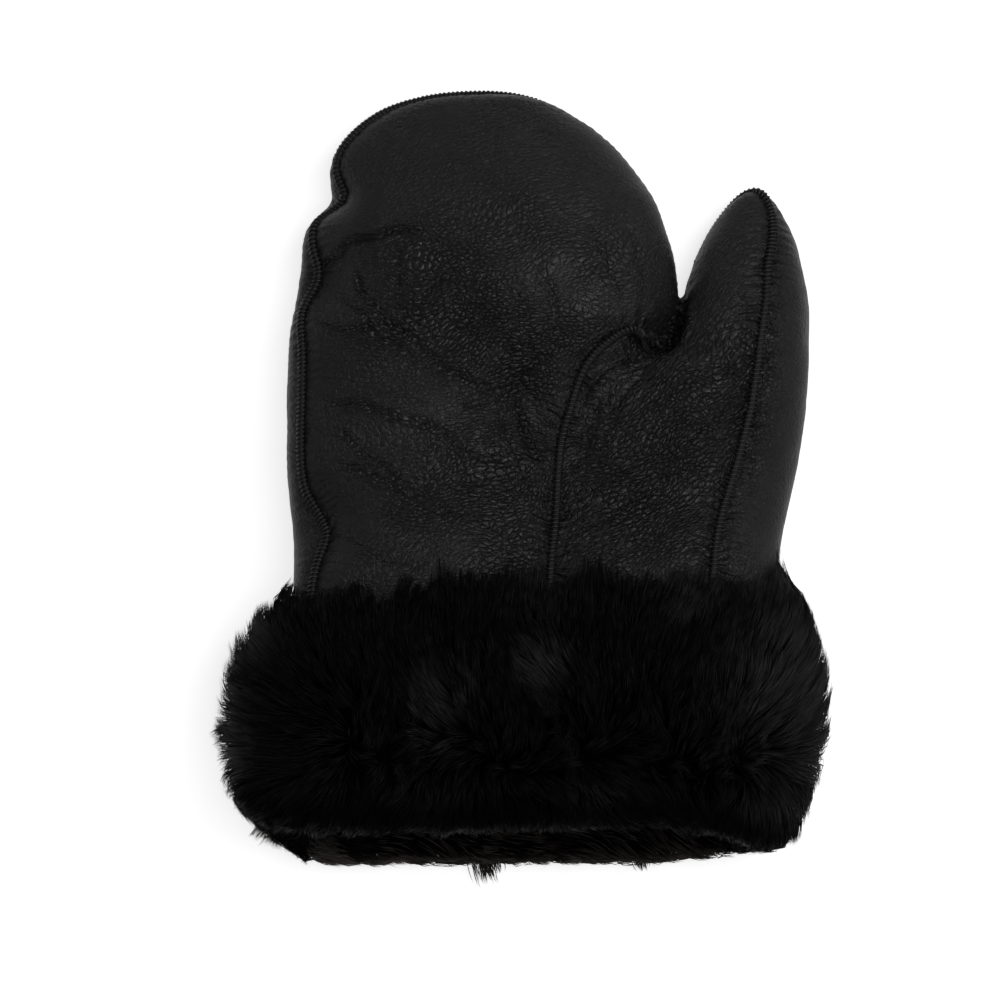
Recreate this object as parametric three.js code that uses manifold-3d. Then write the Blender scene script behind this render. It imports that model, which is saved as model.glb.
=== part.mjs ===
// Shearling leather mitten for the right hand, lying on its back with the palm up.
// Units are millimetres. X runs across the hand towards the thumb, Y from the wrist to the
// fingertips, and Z up from the surface that the mitten lies on.
import * as THREE from "three";
import { mergeVertices } from "three/addons/utils/BufferGeometryUtils.js";
import Module from "manifold-3d";

// Driving dimensions of the leather mitten
const HAND_LENGTH = 262; // wrist mouth to fingertips
const HAND_WIDTH = 135;
const HAND_THICKNESS = 50;
const THUMB_LENGTH = 229; // wrist mouth to thumb tip
const THUMB_WIDTH = 48;
const THUMB_THICKNESS = 40;
const ROUNDNESS = 2.3; // exponent of the cross-sections: 2 is an ellipse, more is boxier
const SETTLE = 2; // how far the soft back flattens under its own weight

// Walls and seams
const LEATHER = 1.6;
const WOOL = 6; // wool pile inside the leather
const SEAM_DIAMETER = 2.6;
const SEAM_SINK = 0.1; // how far the middle of a seam lies under the leather's face
const CLEARANCE = 0.3; // gap between neighbouring pieces

// Turned-back fur cuff
const CUFF_HEIGHT = 90;
const PILE_DEPTH = 20; // depth of the fur at the sides and the front
const CUFF_LIFT = 10; // flattened fur under the wrist, which raises it
const LIFT_RUN = 38; // length over which the back comes down to the floor again
const LIP = 5; // fur rolled over the mouth
const MOUTH_SLANT = 12; // how much further the lower lip reaches than the upper one
const CUFF_ROUNDNESS = 3;
const TUFT_HEIGHT = 5; // how far the tufts of the fur stand out
const TUFT_COMB = 9; // and how far they are combed along it

// Mesh density
const RING_SPACING = 18;
const HAND_SIDES = 20;
const THUMB_SIDES = 14;
const CAVITY_RING_SPACING = 40;
const CAVITY_SIDES = 12;
const CUFF_SIDES = 44;
const SEAM_SIDES = 5;
const SEAM_STEP = 7;
const FAN_SIDES = 12;

// Sections of the hand, from the wrist to the fingertips. at: share of HAND_LENGTH; left and
// right: edges, as shares of HAND_WIDTH from the hand's axis; thick and base: shares of
// HAND_THICKNESS.
const HAND_SECTIONS = [
  { at: 0.0, left: -0.46, right: 0.27, thick: 0.92, base: 0.0 },
  { at: 0.2, left: -0.472, right: 0.278, thick: 0.95, base: 0.0 },
  { at: 0.37, left: -0.485, right: 0.285, thick: 0.98, base: 0.0 },
  { at: 0.49, left: -0.5, right: 0.306, thick: 1.0, base: 0.0 },
  { at: 0.6, left: -0.5, right: 0.355, thick: 1.0, base: 0.0 },
  { at: 0.648, left: -0.498, right: 0.43, thick: 0.99, base: 0.0 },
  { at: 0.7, left: -0.488, right: 0.487, thick: 0.98, base: 0.0 },
  { at: 0.765, left: -0.467, right: 0.487, thick: 0.95, base: 0.0 },
  { at: 0.822, left: -0.452, right: 0.456, thick: 0.9, base: 0.0 },
  { at: 0.856, left: -0.398, right: 0.432, thick: 0.85, base: 0.01 },
  { at: 0.885, left: -0.399, right: 0.397, thick: 0.78, base: 0.02 },
  { at: 0.915, left: -0.386, right: 0.352, thick: 0.69, base: 0.05 },
  { at: 0.945, left: -0.344, right: 0.291, thick: 0.57, base: 0.1 },
  { at: 0.972, left: -0.272, right: 0.212, thick: 0.42, base: 0.17 },
  { at: 0.99, left: -0.18, right: 0.138, thick: 0.26, base: 0.26 },
  { at: 1.0, left: -0.013, right: -0.013, thick: 0.0, base: 0.4 },
];

// Sections of the thumb. at: share of THUMB_LENGTH; across: centre line, as a share of
// HAND_WIDTH from the hand's axis; wide: share of THUMB_WIDTH; thick and base: shares of
// THUMB_THICKNESS.
const THUMB_SECTIONS = [
  { at: 0.0, across: 0.395, wide: 1.66, thick: 1.1, base: 0.0 },
  { at: 0.226, across: 0.394, wide: 1.79, thick: 1.14, base: 0.0 },
  { at: 0.422, across: 0.399, wide: 1.91, thick: 1.15, base: 0.0 },
  { at: 0.558, across: 0.427, wide: 2.02, thick: 1.13, base: 0.0 },
  { at: 0.649, across: 0.453, wide: 2.03, thick: 1.09, base: 0.0 },
  { at: 0.694, across: 0.472, wide: 1.97, thick: 1.06, base: 0.0 },
  { at: 0.721, across: 0.508, wide: 1.78, thick: 1.04, base: 0.0 },
  { at: 0.742, across: 0.592, wide: 1.32, thick: 1.02, base: 0.0 },
  { at: 0.757, across: 0.631, wide: 1.1, thick: 1.0, base: 0.0 },
  { at: 0.785, across: 0.65, wide: 1.0, thick: 0.98, base: 0.0 },
  { at: 0.83, across: 0.665, wide: 0.9, thick: 0.93, base: 0.01 },
  { at: 0.875, across: 0.672, wide: 0.785, thick: 0.84, base: 0.02 },
  { at: 0.92, across: 0.68, wide: 0.64, thick: 0.7, base: 0.05 },
  { at: 0.958, across: 0.685, wide: 0.44, thick: 0.5, base: 0.13 },
  { at: 0.983, across: 0.69, wide: 0.265, thick: 0.31, base: 0.23 },
  { at: 1.0, across: 0.698, wide: 0.0, thick: 0.0, base: 0.4 },
];

// Outer seam on the little-finger side. at: share of HAND_LENGTH; turn: degrees round the
// section, from 90 at its top to 180 at the little-finger side.
const SIDE_SEAM = [
  { at: 0.0, turn: 150 },
  { at: 0.34, turn: 151 },
  { at: 0.385, turn: 147 },
  { at: 0.417, turn: 142 },
  { at: 0.445, turn: 147 },
  { at: 0.48, turn: 154 },
  { at: 0.6, turn: 155 },
  { at: 0.66, turn: 157 },
  { at: 0.71, turn: 164 },
  { at: 0.752, turn: 158 },
  { at: 0.81, turn: 166 },
  { at: 0.838, turn: 172 },
  { at: 0.862, turn: 163 },
  { at: 0.9, turn: 167 },
  { at: 0.955, turn: 165 },
  { at: 1.0, turn: 180 },
];

// The same seam down the front of the thumb. at: share of THUMB_LENGTH; in: how far it lies
// from the thumb's outer edge, as a share of THUMB_WIDTH.
const THUMB_SEAM = [
  { at: 0.0, in: 0.45 },
  { at: 0.428, in: 0.46 },
  { at: 0.481, in: 0.475 },
  { at: 0.53, in: 0.468 },
  { at: 0.594, in: 0.439 },
  { at: 0.659, in: 0.41 },
  { at: 0.722, in: 0.381 },
  { at: 0.787, in: 0.345 },
  { at: 0.836, in: 0.302 },
  { at: 0.885, in: 0.241 },
  { at: 0.949, in: 0.094 },
  { at: 0.97, in: 0.05 },
  { at: 1.0, in: 0.0 },
];

// Seam between the palm and the thumb piece. at: share of the way from the mouth to the crotch;
// across: share of HAND_WIDTH from the hand's axis.
const GUSSET_SEAM = [
  { at: 0.0, across: 0.166 },
  { at: 0.284, across: 0.164 },
  { at: 0.517, across: 0.165 },
  { at: 0.618, across: 0.179 },
  { at: 0.717, across: 0.185 },
  { at: 0.788, across: 0.199 },
  { at: 0.858, across: 0.226 },
  { at: 0.91, across: 0.258 },
  { at: 0.949, across: 0.308 },
  { at: 0.977, across: 0.374 },
  { at: 0.957, across: 0.404 },
  { at: 0.932, across: 0.43 },
  { at: 0.943, across: 0.446 },
  { at: 0.969, across: 0.471 },
];
const LOW_TURN = 22; // degrees under the widest line at which the hidden seams run
const LOW_RUN = 30; // length over which they come up to the widest line at the crotch

// Dents where the seams pull the leather in. at: share of HAND_LENGTH; across: share of
// HAND_WIDTH; high: share of HAND_THICKNESS; size: radius, share of HAND_WIDTH; push: share
// of HAND_THICKNESS towards +X and towards -Z.
const DENTS = [
  { at: 0.858, across: -0.4, high: 0.55, size: 0.075, push: 0.08, down: 0.05 },
  { at: 0.756, across: -0.43, high: 0.75, size: 0.09, push: 0.05, down: 0.07 },
  { at: 0.417, across: -0.42, high: 0.8, size: 0.11, push: 0.05, down: 0.09 },
  { at: 0.56, across: 0.11, high: 0.95, size: 0.11, push: 0.0, down: 0.08 },
  { at: 0.655, across: 0.4, high: 0.85, size: 0.08, push: 0.0, down: 0.08 },
];

// Pile of the cuff. at: share of CUFF_HEIGHT from the mouth; left, right and front: depth
// over the leather, as shares of PILE_DEPTH; comb: which way its tufts lie, 1 towards the
// fingertips and -1 towards the mouth.
const CUFF_SECTIONS = [
  { at: -0.02, left: 0.1, right: 0.12, front: 0.2, comb: 0 },
  { at: 0.04, left: 0.4, right: 0.44, front: 0.52, comb: -0.5 },
  { at: 0.13, left: 0.86, right: 0.62, front: 0.76, comb: -0.7 },
  { at: 0.24, left: 1.08, right: 0.72, front: 0.88, comb: -0.5 },
  { at: 0.36, left: 1.18, right: 0.82, front: 0.95, comb: -0.2 },
  { at: 0.49, left: 1.16, right: 0.9, front: 1.0, comb: 0.2 },
  { at: 0.62, left: 1.08, right: 0.92, front: 1.0, comb: 0.5 },
  { at: 0.74, left: 0.95, right: 0.84, front: 0.94, comb: 0.7 },
  { at: 0.85, left: 0.7, right: 0.66, front: 0.78, comb: 0.8 },
  { at: 0.94, left: 0.38, right: 0.42, front: 0.48, comb: 0.9 },
  { at: 1.0, left: 0.13, right: 0.2, front: 0.2, comb: 1.1 },
];

const wasm = await Module();
wasm.setup();

const clamp = THREE.MathUtils.clamp;
const smoothstep = THREE.MathUtils.smoothstep;
const radians = THREE.MathUtils.degToRad;

// Smooth value of one column of a table at a place along it. Working in the square root of
// the distance to the far end keeps a closed tip round.
function column(table, name, at) {
  const depth = (v) => Math.sqrt(Math.max(1 - v, 0));
  const t = depth(at);
  let i = 0;
  while (i < table.length - 2 && at > table[i + 1].at) i++;
  const knot = (k) => table[clamp(k, 0, table.length - 1)];
  const slope = (k) => {
    const a = knot(k - 1);
    const b = knot(k + 1);
    return (b[name] - a[name]) / (depth(b.at) - depth(a.at));
  };
  const span = depth(table[i + 1].at) - depth(table[i].at);
  const s = clamp((t - depth(table[i].at)) / span, 0, 1);
  const s2 = s * s;
  const s3 = s2 * s;
  return (
    (2 * s3 - 3 * s2 + 1) * table[i][name] +
    (s3 - 2 * s2 + s) * span * slope(i) +
    (3 * s2 - 2 * s3) * table[i + 1][name] +
    (s3 - s2) * span * slope(i + 1)
  );
}

// The hand and the thumb, each as a tube of rounded sections
const hand = {
  rows: HAND_SECTIONS,
  length: HAND_LENGTH,
  front: (at) => ({
    from: -lowTurn(at * HAND_LENGTH),
    to: radians(column(SIDE_SEAM, "turn", at)),
  }),
  section(at) {
    const left = column(HAND_SECTIONS, "left", at) * HAND_WIDTH;
    const right = column(HAND_SECTIONS, "right", at) * HAND_WIDTH;
    return {
      middle: (left + right) / 2,
      halfWidth: (right - left) / 2,
      halfThick: (column(HAND_SECTIONS, "thick", at) * HAND_THICKNESS) / 2,
      base: column(HAND_SECTIONS, "base", at) * HAND_THICKNESS,
    };
  },
};
const thumb = {
  rows: THUMB_SECTIONS,
  length: THUMB_LENGTH,
  front: (at) => ({
    from: thumbSeamTurn(at),
    to: Math.PI + lowTurn(at * THUMB_LENGTH),
  }),
  section(at) {
    return {
      middle: column(THUMB_SECTIONS, "across", at) * HAND_WIDTH,
      halfWidth: (column(THUMB_SECTIONS, "wide", at) * THUMB_WIDTH) / 2,
      halfThick: (column(THUMB_SECTIONS, "thick", at) * THUMB_THICKNESS) / 2,
      base: column(THUMB_SECTIONS, "base", at) * THUMB_THICKNESS,
    };
  },
};

// A half size taken in by inset, which stays above nothing where the tube closes
function takenIn(half, inset) {
  return inset > 0 ? Math.hypot(half, inset) - inset : half - inset;
}

// How far the fur under the wrist lifts the leather at y
function liftAt(y) {
  return CUFF_LIFT * (1 - smoothstep(y, CUFF_HEIGHT, CUFF_HEIGHT + LIFT_RUN));
}

// Dents at the seams, and the slant of the mouth
function settled(p) {
  const q = p.clone();
  for (const dent of DENTS) {
    const middle = new THREE.Vector3(
      dent.across * HAND_WIDTH,
      dent.at * HAND_LENGTH,
      dent.high * HAND_THICKNESS,
    );
    const share = Math.exp(-middle.distanceToSquared(p) / (dent.size * HAND_WIDTH) ** 2);
    q.x += share * dent.push * HAND_THICKNESS;
    q.z -= share * dent.down * HAND_THICKNESS;
  }
  const nearMouth = 1 - smoothstep(p.y, 0, CUFF_HEIGHT);
  q.y += MOUTH_SLANT * nearMouth * (p.z / (HAND_THICKNESS + CUFF_LIFT) - 0.5);
  return q;
}

// Point on a tube: at along it, turn radians round it, inset under its outer face
function pointOn(tube, at, turn, inset) {
  const { middle, halfWidth, halfThick, base } = tube.section(Math.max(at, 0));
  const power = (v) => Math.sign(v) * Math.abs(v) ** (2 / ROUNDNESS);
  const y = at * (tube.length - inset);
  const z =
    base + halfThick - SETTLE + takenIn(halfThick, inset) * power(Math.sin(turn));
  return settled(
    new THREE.Vector3(
      middle + takenIn(halfWidth, inset) * power(Math.cos(turn)),
      y,
      Math.max(z, inset) + liftAt(y),
    ),
  );
}

// Turn of a tube's section at which its top face stands at x
function turnAt(tube, at, x) {
  const { middle, halfWidth } = tube.section(at);
  const share = clamp((x - middle) / halfWidth, -1, 1);
  return Math.acos(Math.sign(share) * Math.abs(share) ** (ROUNDNESS / 2));
}

// Closed solid through rings with the same number of points, its ends closed to a middle
function loft(rings) {
  const sides = rings[0].length;
  const middleOf = (ring) =>
    ring.reduce((sum, p) => sum.add(p), new THREE.Vector3()).divideScalar(sides);
  const points = [...rings.flat(), middleOf(rings[0]), middleOf(rings.at(-1))];
  const index = [];
  const last = (rings.length - 1) * sides;
  for (let k = 0; k < sides; k++) {
    const next = (k + 1) % sides;
    for (let row = 0; row < last; row += sides) {
      index.push(row + k, row + sides + k, row + next);
      index.push(row + next, row + sides + k, row + sides + next);
    }
    index.push(points.length - 2, k, next);
    index.push(points.length - 1, last + next, last + k);
  }
  return new THREE.BufferGeometry().setFromPoints(points).setIndex(index);
}

// Geometry as a solid that can be cut and joined
function solidOf(geometry) {
  const bare = geometry.clone();
  bare.deleteAttribute("normal");
  bare.deleteAttribute("uv");
  const merged = mergeVertices(bare, 1e-4);
  return new wasm.Manifold(
    new wasm.Mesh({
      numProp: 3,
      vertProperties: new Float32Array(merged.attributes.position.array),
      triVerts: new Uint32Array(merged.index.array),
    }),
  );
}

// The separate bodies of a solid, the largest first
function largestFirst(solid) {
  return solid.decompose().sort((a, b) => b.volume() - a.volume());
}

// Evenly spaced numbers from one end to the other
function steps(from, to, spacing) {
  const count = Math.ceil(Math.abs(to - from) / spacing);
  return Array.from({ length: count + 1 }, (_, k) => from + ((to - from) * k) / count);
}

// Places along a tube from y to just before its tip: those of its table, with more between
// them where they are further apart than the spacing
function placesToTip(tube, y, spacing) {
  const start = y / tube.length;
  const knots = [start];
  for (const { at } of tube.rows) {
    if ((at - knots.at(-1)) * tube.length > spacing / 3 || at === 1) knots.push(at);
  }
  const edges = [0, Math.PI];
  const places = [];
  for (const [i, to] of knots.slice(1).entries()) {
    const from = knots[i];
    const spans = edges.map((turn) =>
      pointOn(tube, from, turn, 0).distanceTo(pointOn(tube, to, turn, 0)),
    );
    const count = Math.ceil(Math.max(...spans) / spacing);
    const near = Array.from({ length: count }, (_, k) => {
      const depth = Math.sqrt(1 - from) * (1 - k / count) + (Math.sqrt(1 - to) * k) / count;
      return 1 - depth ** 2;
    });
    places.push(...near);
  }
  return places;
}

// Solid of a whole tube, inset under its outer face, from y = start to its closed tip
function tubeSolid(tube, inset, start, spacing, sides) {
  const places = placesToTip(tube, Math.max(start, 0), spacing);
  if (start < 0) places.unshift(start / tube.length);
  const rings = places.map((at) =>
    Array.from({ length: sides }, (_, k) => pointOn(tube, at, (2 * Math.PI * k) / sides, inset)),
  );
  const shell = loft(rings);
  const tip = pointOn(tube, 1, 0, Math.max(inset, 0));
  tip.y += Math.max(-inset, 0);
  shell.attributes.position.setXYZ(shell.attributes.position.count - 1, ...tip);
  return solidOf(shell);
}

// Where the hand and the thumb part at their widest lines, as a y
function crotchY() {
  let low = THUMB_LENGTH / 2;
  let high = THUMB_LENGTH;
  for (let k = 0; k < 30; k++) {
    const y = (low + high) / 2;
    const right = pointOn(hand, y / HAND_LENGTH, 0, 0).x;
    const left = pointOn(thumb, y / THUMB_LENGTH, Math.PI, 0).x;
    if (right > left) low = y;
    else high = y;
  }
  return low;
}
const CROTCH = crotchY();

// Point in the crotch where the three seams meet, a share of the way from the hand's wall
// to the thumb's
function crotchPoint(inset, share) {
  const sides = [
    pointOn(hand, CROTCH / HAND_LENGTH, 0, inset),
    pointOn(thumb, CROTCH / THUMB_LENGTH, Math.PI, inset),
  ];
  const p = sides[0].clone().lerp(sides[1], share);
  p.z = (sides[0].z + sides[1].z) / 2;
  return p;
}

// The mitten's whole body, hand and thumb together
function bodySolid(inset, start) {
  return tubeSolid(hand, inset, start, RING_SPACING, HAND_SIDES).add(
    tubeSolid(thumb, inset, start, RING_SPACING, THUMB_SIDES),
  );
}

// The room for the hand inside the wool, open past the mouth
function cavitySolid() {
  const inset = LEATHER + CLEARANCE + WOOL;
  const start = -CUFF_HEIGHT / 2;
  return tubeSolid(hand, inset, start, CAVITY_RING_SPACING, CAVITY_SIDES).add(
    tubeSolid(thumb, inset, start, CAVITY_RING_SPACING, CAVITY_SIDES),
  );
}

// How far under the widest line a hidden seam runs, in radians
function lowTurn(y) {
  return radians(LOW_TURN) * smoothstep(y, CROTCH, CROTCH + LOW_RUN);
}

// Little-finger side from the mouth, over the fingertips and down to the crotch
function sideSeamPath(inset, start) {
  const up = placesToTip(hand, start, SEAM_STEP).map((at) =>
    pointOn(hand, at, radians(column(SIDE_SEAM, "turn", at)), inset),
  );
  const down = placesToTip(hand, CROTCH, SEAM_STEP)
    .slice(1)
    .reverse()
    .map((at) => pointOn(hand, at, -lowTurn(at * HAND_LENGTH), inset));
  return [...up, pointOn(hand, 1, 0, inset), ...down, crotchPoint(inset, 0)];
}

// Turn at which the seam down the front of the thumb lies
function thumbSeamTurn(at) {
  const { middle, halfWidth } = thumb.section(at);
  const x = middle + halfWidth - column(THUMB_SEAM, "in", at) * THUMB_WIDTH;
  return turnAt(thumb, at, x);
}

// Crotch, up the inside of the thumb, over its tip and down its front to the mouth
function thumbSeamPath(inset, start) {
  const up = placesToTip(thumb, CROTCH, SEAM_STEP)
    .slice(1)
    .map((at) => pointOn(thumb, at, Math.PI + lowTurn(at * THUMB_LENGTH), inset));
  const down = placesToTip(thumb, start, SEAM_STEP)
    .reverse()
    .map((at) => pointOn(thumb, at, thumbSeamTurn(at), inset));
  return [crotchPoint(inset, 1), ...up, pointOn(thumb, 1, 0, inset), ...down];
}

// Palm side, from the mouth up between palm and thumb and down into the crotch
function gussetSeamPath(inset, start) {
  const route = new THREE.CatmullRomCurve3(
    GUSSET_SEAM.map((row) => new THREE.Vector3(row.across * HAND_WIDTH, row.at * CROTCH, 0)),
    false,
    "centripetal",
  );
  const onTop = route
    .getSpacedPoints(Math.ceil(route.getLength() / SEAM_STEP))
    .filter((p) => p.y > start)
    .map((p) => {
      const places = [hand, thumb].map((tube) => {
        const at = p.y / tube.length;
        return pointOn(tube, at, turnAt(tube, at, p.x), inset);
      });
      return places[0].z > places[1].z ? places[0] : places[1];
    });
  return [...onTop, crotchPoint(inset, 0.5)];
}

// Round cord along a seam
function seamSolid(route, radius, start) {
  const curve = new THREE.CatmullRomCurve3(route(SEAM_SINK, start), false, "centripetal");
  const rim = steps(0, 2 * Math.PI, (2 * Math.PI) / SEAM_SIDES)
    .slice(0, -1)
    .map((turn) => new THREE.Vector2(radius * Math.cos(turn), radius * Math.sin(turn)));
  return solidOf(
    new THREE.ExtrudeGeometry(new THREE.Shape(rim), {
      extrudePath: curve,
      steps: Math.ceil(curve.getLength() / SEAM_STEP),
      bevelEnabled: false,
    }),
  );
}

// Leather, in panels that the seams part from each other
const LEATHER_START = LIP + CLEARANCE;
const BEYOND = 10; // how far a cutter runs past what it cuts
const BLADE = 2; // how far a blade stands over and under the wall
const SEAM_PATHS = [sideSeamPath, thumbSeamPath, gussetSeamPath];

// Blade that cuts the wall through along a seam: a ribbon standing on the leather
function bladeSolid(route) {
  const outside = route(0, LEATHER_START - BEYOND);
  const inside = route(LEATHER, LEATHER_START - BEYOND);
  const half = SEAM_DIAMETER / 2 + 2 * CLEARANCE;
  const rings = outside.map((p, i) => {
    const along = outside[Math.min(i + 1, outside.length - 1)]
      .clone()
      .sub(outside[Math.max(i - 1, 0)]);
    const up = p.clone().sub(inside[i]).normalize();
    const across = new THREE.Vector3().crossVectors(along, up).setLength(half);
    const corner = (from, rise, side) =>
      from.clone().addScaledVector(up, rise).addScaledVector(across, side);
    return [
      corner(p, BLADE, 1),
      corner(p, BLADE, -1),
      corner(inside[i], -BLADE, -1),
      corner(inside[i], -BLADE, 1),
    ];
  });
  return solidOf(loft(rings));
}

// Middle height of a tube's sides at y
function sideHeight(tube, y) {
  const sides = [0, Math.PI].map((turn) => pointOn(tube, y / tube.length, turn, 0).z);
  return (sides[0] + sides[1]) / 2;
}

// Solid in front of a tube's seams: in each section, a fan from the middle out past the face,
// from one seam to the other. Up to the crotch both tubes' fans stand at one height. ease
// moves the fan's two straight sides back.
function fanSolid(tube, ease) {
  const start = (LEATHER_START - BEYOND) / tube.length;
  const rings = [start, ...placesToTip(tube, 0, RING_SPACING)].map((at) => {
    const y = at * tube.length;
    const own = sideHeight(tube, y);
    const shared = (sideHeight(hand, y) + sideHeight(thumb, y)) / 2;
    const drop = (shared - own) * (1 - smoothstep(y, CROTCH, CROTCH + LOW_RUN));
    const { from, to } = tube.front(Math.max(at, 0));
    const rim = Array.from({ length: FAN_SIDES + 1 }, (_, k) =>
      pointOn(tube, at, from + ((to - from) * k) / FAN_SIDES, -BLADE),
    );
    const ends = [rim[0], rim.at(-1)];
    ends[tube === hand ? 0 : 1].z += drop;
    const heart = pointOn(tube, at, 0, -BLADE).lerp(pointOn(tube, at, Math.PI, -BLADE), 0.5);
    heart.z = own + drop;
    for (const [i, end] of ends.entries()) {
      const ray = end.clone().sub(heart);
      end.add(new THREE.Vector3(ray.z, 0, -ray.x).setLength(i === 0 ? ease : -ease));
    }
    heart.z -= ease;
    return [heart, ...rim];
  });
  rings.push(rings.at(-1).map((p) => p.clone().setY(tube.length + BEYOND)));
  return solidOf(loft(rings));
}

// Solid over one side of the gusset seam and of the gap between hand and thumb, seen from the
// front. side: -1 for the palm's and 1 for the thumb's.
function besideGusset(side) {
  const between = placesToTip(thumb, CROTCH, RING_SPACING)
    .slice(1)
    .map((at) => {
      const y = at * THUMB_LENGTH;
      const right = pointOn(hand, y / HAND_LENGTH, 0, 0);
      return right.lerp(pointOn(thumb, at, Math.PI, 0), 0.5).setY(y);
    });
  const line = [...gussetSeamPath(0, LEATHER_START - BEYOND), ...between];
  const low = line[0].clone().setY(-CUFF_HEIGHT);
  const high = line.at(-1).clone().setY(HAND_LENGTH + BEYOND);
  const all = [low, ...line, high];
  const edge = all.map((p, i) => {
    const along = all[Math.min(i + 1, all.length - 1)].clone().sub(all[Math.max(i - 1, 0)]);
    const off = new THREE.Vector2(along.y, -along.x).setLength((side * CLEARANCE) / 2);
    return new THREE.Vector2(p.x, p.y).add(off);
  });
  const far = 2 * side * HAND_WIDTH;
  const corners = [new THREE.Vector2(far, high.y), new THREE.Vector2(far, low.y)];
  const prism = new THREE.ExtrudeGeometry(new THREE.Shape([...edge, ...corners]), {
    depth: 2 * HAND_THICKNESS + BEYOND,
    bevelEnabled: false,
  });
  return solidOf(prism.translate(0, 0, -BEYOND));
}

// A wall of the mitten in three: back, palm, and the front of the thumb with the gusset
function parted(wall) {
  const fans = (ease) => fanSolid(hand, ease).add(fanSolid(thumb, ease));
  const front = wall.intersect(fans(0));
  return [
    wall.subtract(fans(CLEARANCE)),
    front.intersect(besideGusset(-1)),
    front.intersect(besideGusset(1)),
  ];
}

function leatherPanels() {
  const shell = bodySolid(0, LEATHER_START).subtract(
    bodySolid(LEATHER, LEATHER_START - BEYOND),
  );
  return parted(shell.subtract(wasm.Manifold.union(SEAM_PATHS.map(bladeSolid))));
}

// Repeatable random numbers from 0 to 1
function randomFrom(seed) {
  let state = seed;
  return () => {
    state = (state * 1664525 + 1013904223) % 4294967296;
    return state / 4294967296;
  };
}

// Point on the face of the cuff. tuft: 0 between tufts and 1 at the end of one.
function cuffPoint(row, turn, tuft) {
  const y = row.at * CUFF_HEIGHT;
  const palm = hand.section(Math.max(y, 0) / HAND_LENGTH);
  const base = thumb.section(Math.max(y, 0) / THUMB_LENGTH);
  const stand = (tuft - 0.5) * TUFT_HEIGHT;
  const left = palm.middle - palm.halfWidth - row.left * PILE_DEPTH - stand;
  const right = base.middle + base.halfWidth + row.right * PILE_DEPTH + stand;
  const top = 2 * palm.halfThick - SETTLE + CUFF_LIFT + row.front * PILE_DEPTH + stand;
  const power = (v) => Math.sign(v) * Math.abs(v) ** (2 / CUFF_ROUNDNESS);
  return settled(
    new THREE.Vector3(
      (left + right) / 2 + ((right - left) / 2) * power(Math.cos(turn)),
      y + tuft * row.comb * TUFT_COMB,
      Math.max((top / 2) * (1 + power(Math.sin(turn))) - SETTLE, 0),
    ),
  );
}

function furCuff() {
  const random = randomFrom(7);
  const rings = CUFF_SECTIONS.map((row, r) =>
    Array.from({ length: CUFF_SIDES }, (_, k) => {
      const turn = (2 * Math.PI * (k + 0.5 * (r % 2))) / CUFF_SIDES;
      return cuffPoint(row, turn, ((k + r) % 2) * (0.5 + 0.5 * random()));
    }),
  );
  const seamHeight = SEAM_DIAMETER / 2 - SEAM_SINK;
  const wrist = bodySolid(-(seamHeight + CLEARANCE), LIP);
  return solidOf(loft(rings)).subtract(wrist).subtract(cavitySolid());
}

// Wool pile inside each panel of leather, open at the mouth
function woolPanels() {
  return parted(bodySolid(LEATHER + CLEARANCE, LEATHER_START).subtract(cavitySolid()));
}

// Materials
const blackLeather = new THREE.MeshStandardMaterial({ color: 0x232121, roughness: 0.5 });
const seamThread = new THREE.MeshStandardMaterial({ color: 0x151414, roughness: 0.7 });
const blackFur = new THREE.MeshStandardMaterial({ color: 0x0c0b0c, roughness: 0.95 });

function piece(name, solid, material) {
  const { vertProperties, triVerts } = solid.getMesh();
  const geometry = new THREE.BufferGeometry()
    .setAttribute("position", new THREE.BufferAttribute(vertProperties, 3))
    .setIndex(new THREE.BufferAttribute(triVerts, 1));
  geometry.computeVertexNormals();
  const mesh = new THREE.Mesh(geometry, material);
  mesh.name = name;
  return mesh;
}

// Seams, each cut clear of the ones that it meets in the crotch
const seams = SEAM_PATHS.map((route) => seamSolid(route, SEAM_DIAMETER / 2, LEATHER_START));
const aroundSeams = SEAM_PATHS.map((route) =>
  seamSolid(route, SEAM_DIAMETER / 2 + CLEARANCE, LEATHER_START),
);
seams[1] = largestFirst(seams[1].subtract(aroundSeams[0]))[0];
seams[2] = largestFirst(seams[2].subtract(aroundSeams[0]).subtract(aroundSeams[1]))[0];

const clearOfSeams = (solid) =>
  largestFirst(solid.subtract(wasm.Manifold.union(aroundSeams)))[0];

const mitten = new THREE.Group();
const sides = ["back", "palm", "thumb"];
for (const [i, panel] of leatherPanels().entries()) {
  mitten.add(piece(`${sides[i]}_panel`, clearOfSeams(panel), blackLeather));
}
for (const [i, wool] of woolPanels().entries()) {
  mitten.add(piece(`${sides[i]}_wool`, clearOfSeams(wool), blackFur));
}
const seamNames = ["side_seam", "thumb_seam", "gusset_seam"];
for (const [i, seam] of seams.entries()) mitten.add(piece(seamNames[i], seam, seamThread));
mitten.add(piece("fur_cuff", clearOfSeams(furCuff()), blackFur));

// The origin is in the middle of the mitten's outline, on the surface that it lies on
const box = new THREE.Box3().setFromObject(mitten);
const centre = box.getCenter(new THREE.Vector3());
mitten.position.set(-centre.x, -centre.y, -box.min.z);

export default mitten;
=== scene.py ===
# %% [markdown]
# A sheepskin mitten
# A shearling mitten is sewn from sheepskin with the leather outside and the wool inside. At the
# wrist the skin is turned back, so its fur shows as a deep cuff. This lesson dresses the plain
# solids of such a mitten: leather panels with grain and puckers, seams with real overcast
# stitches, a fur cuff of separate locks, and the wool that shows at the mouth.

# %% The frame
import math
import bpy
import numpy as np
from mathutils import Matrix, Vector
from mathutils.bvhtree import BVHTree
from mathutils.kdtree import KDTree


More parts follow.
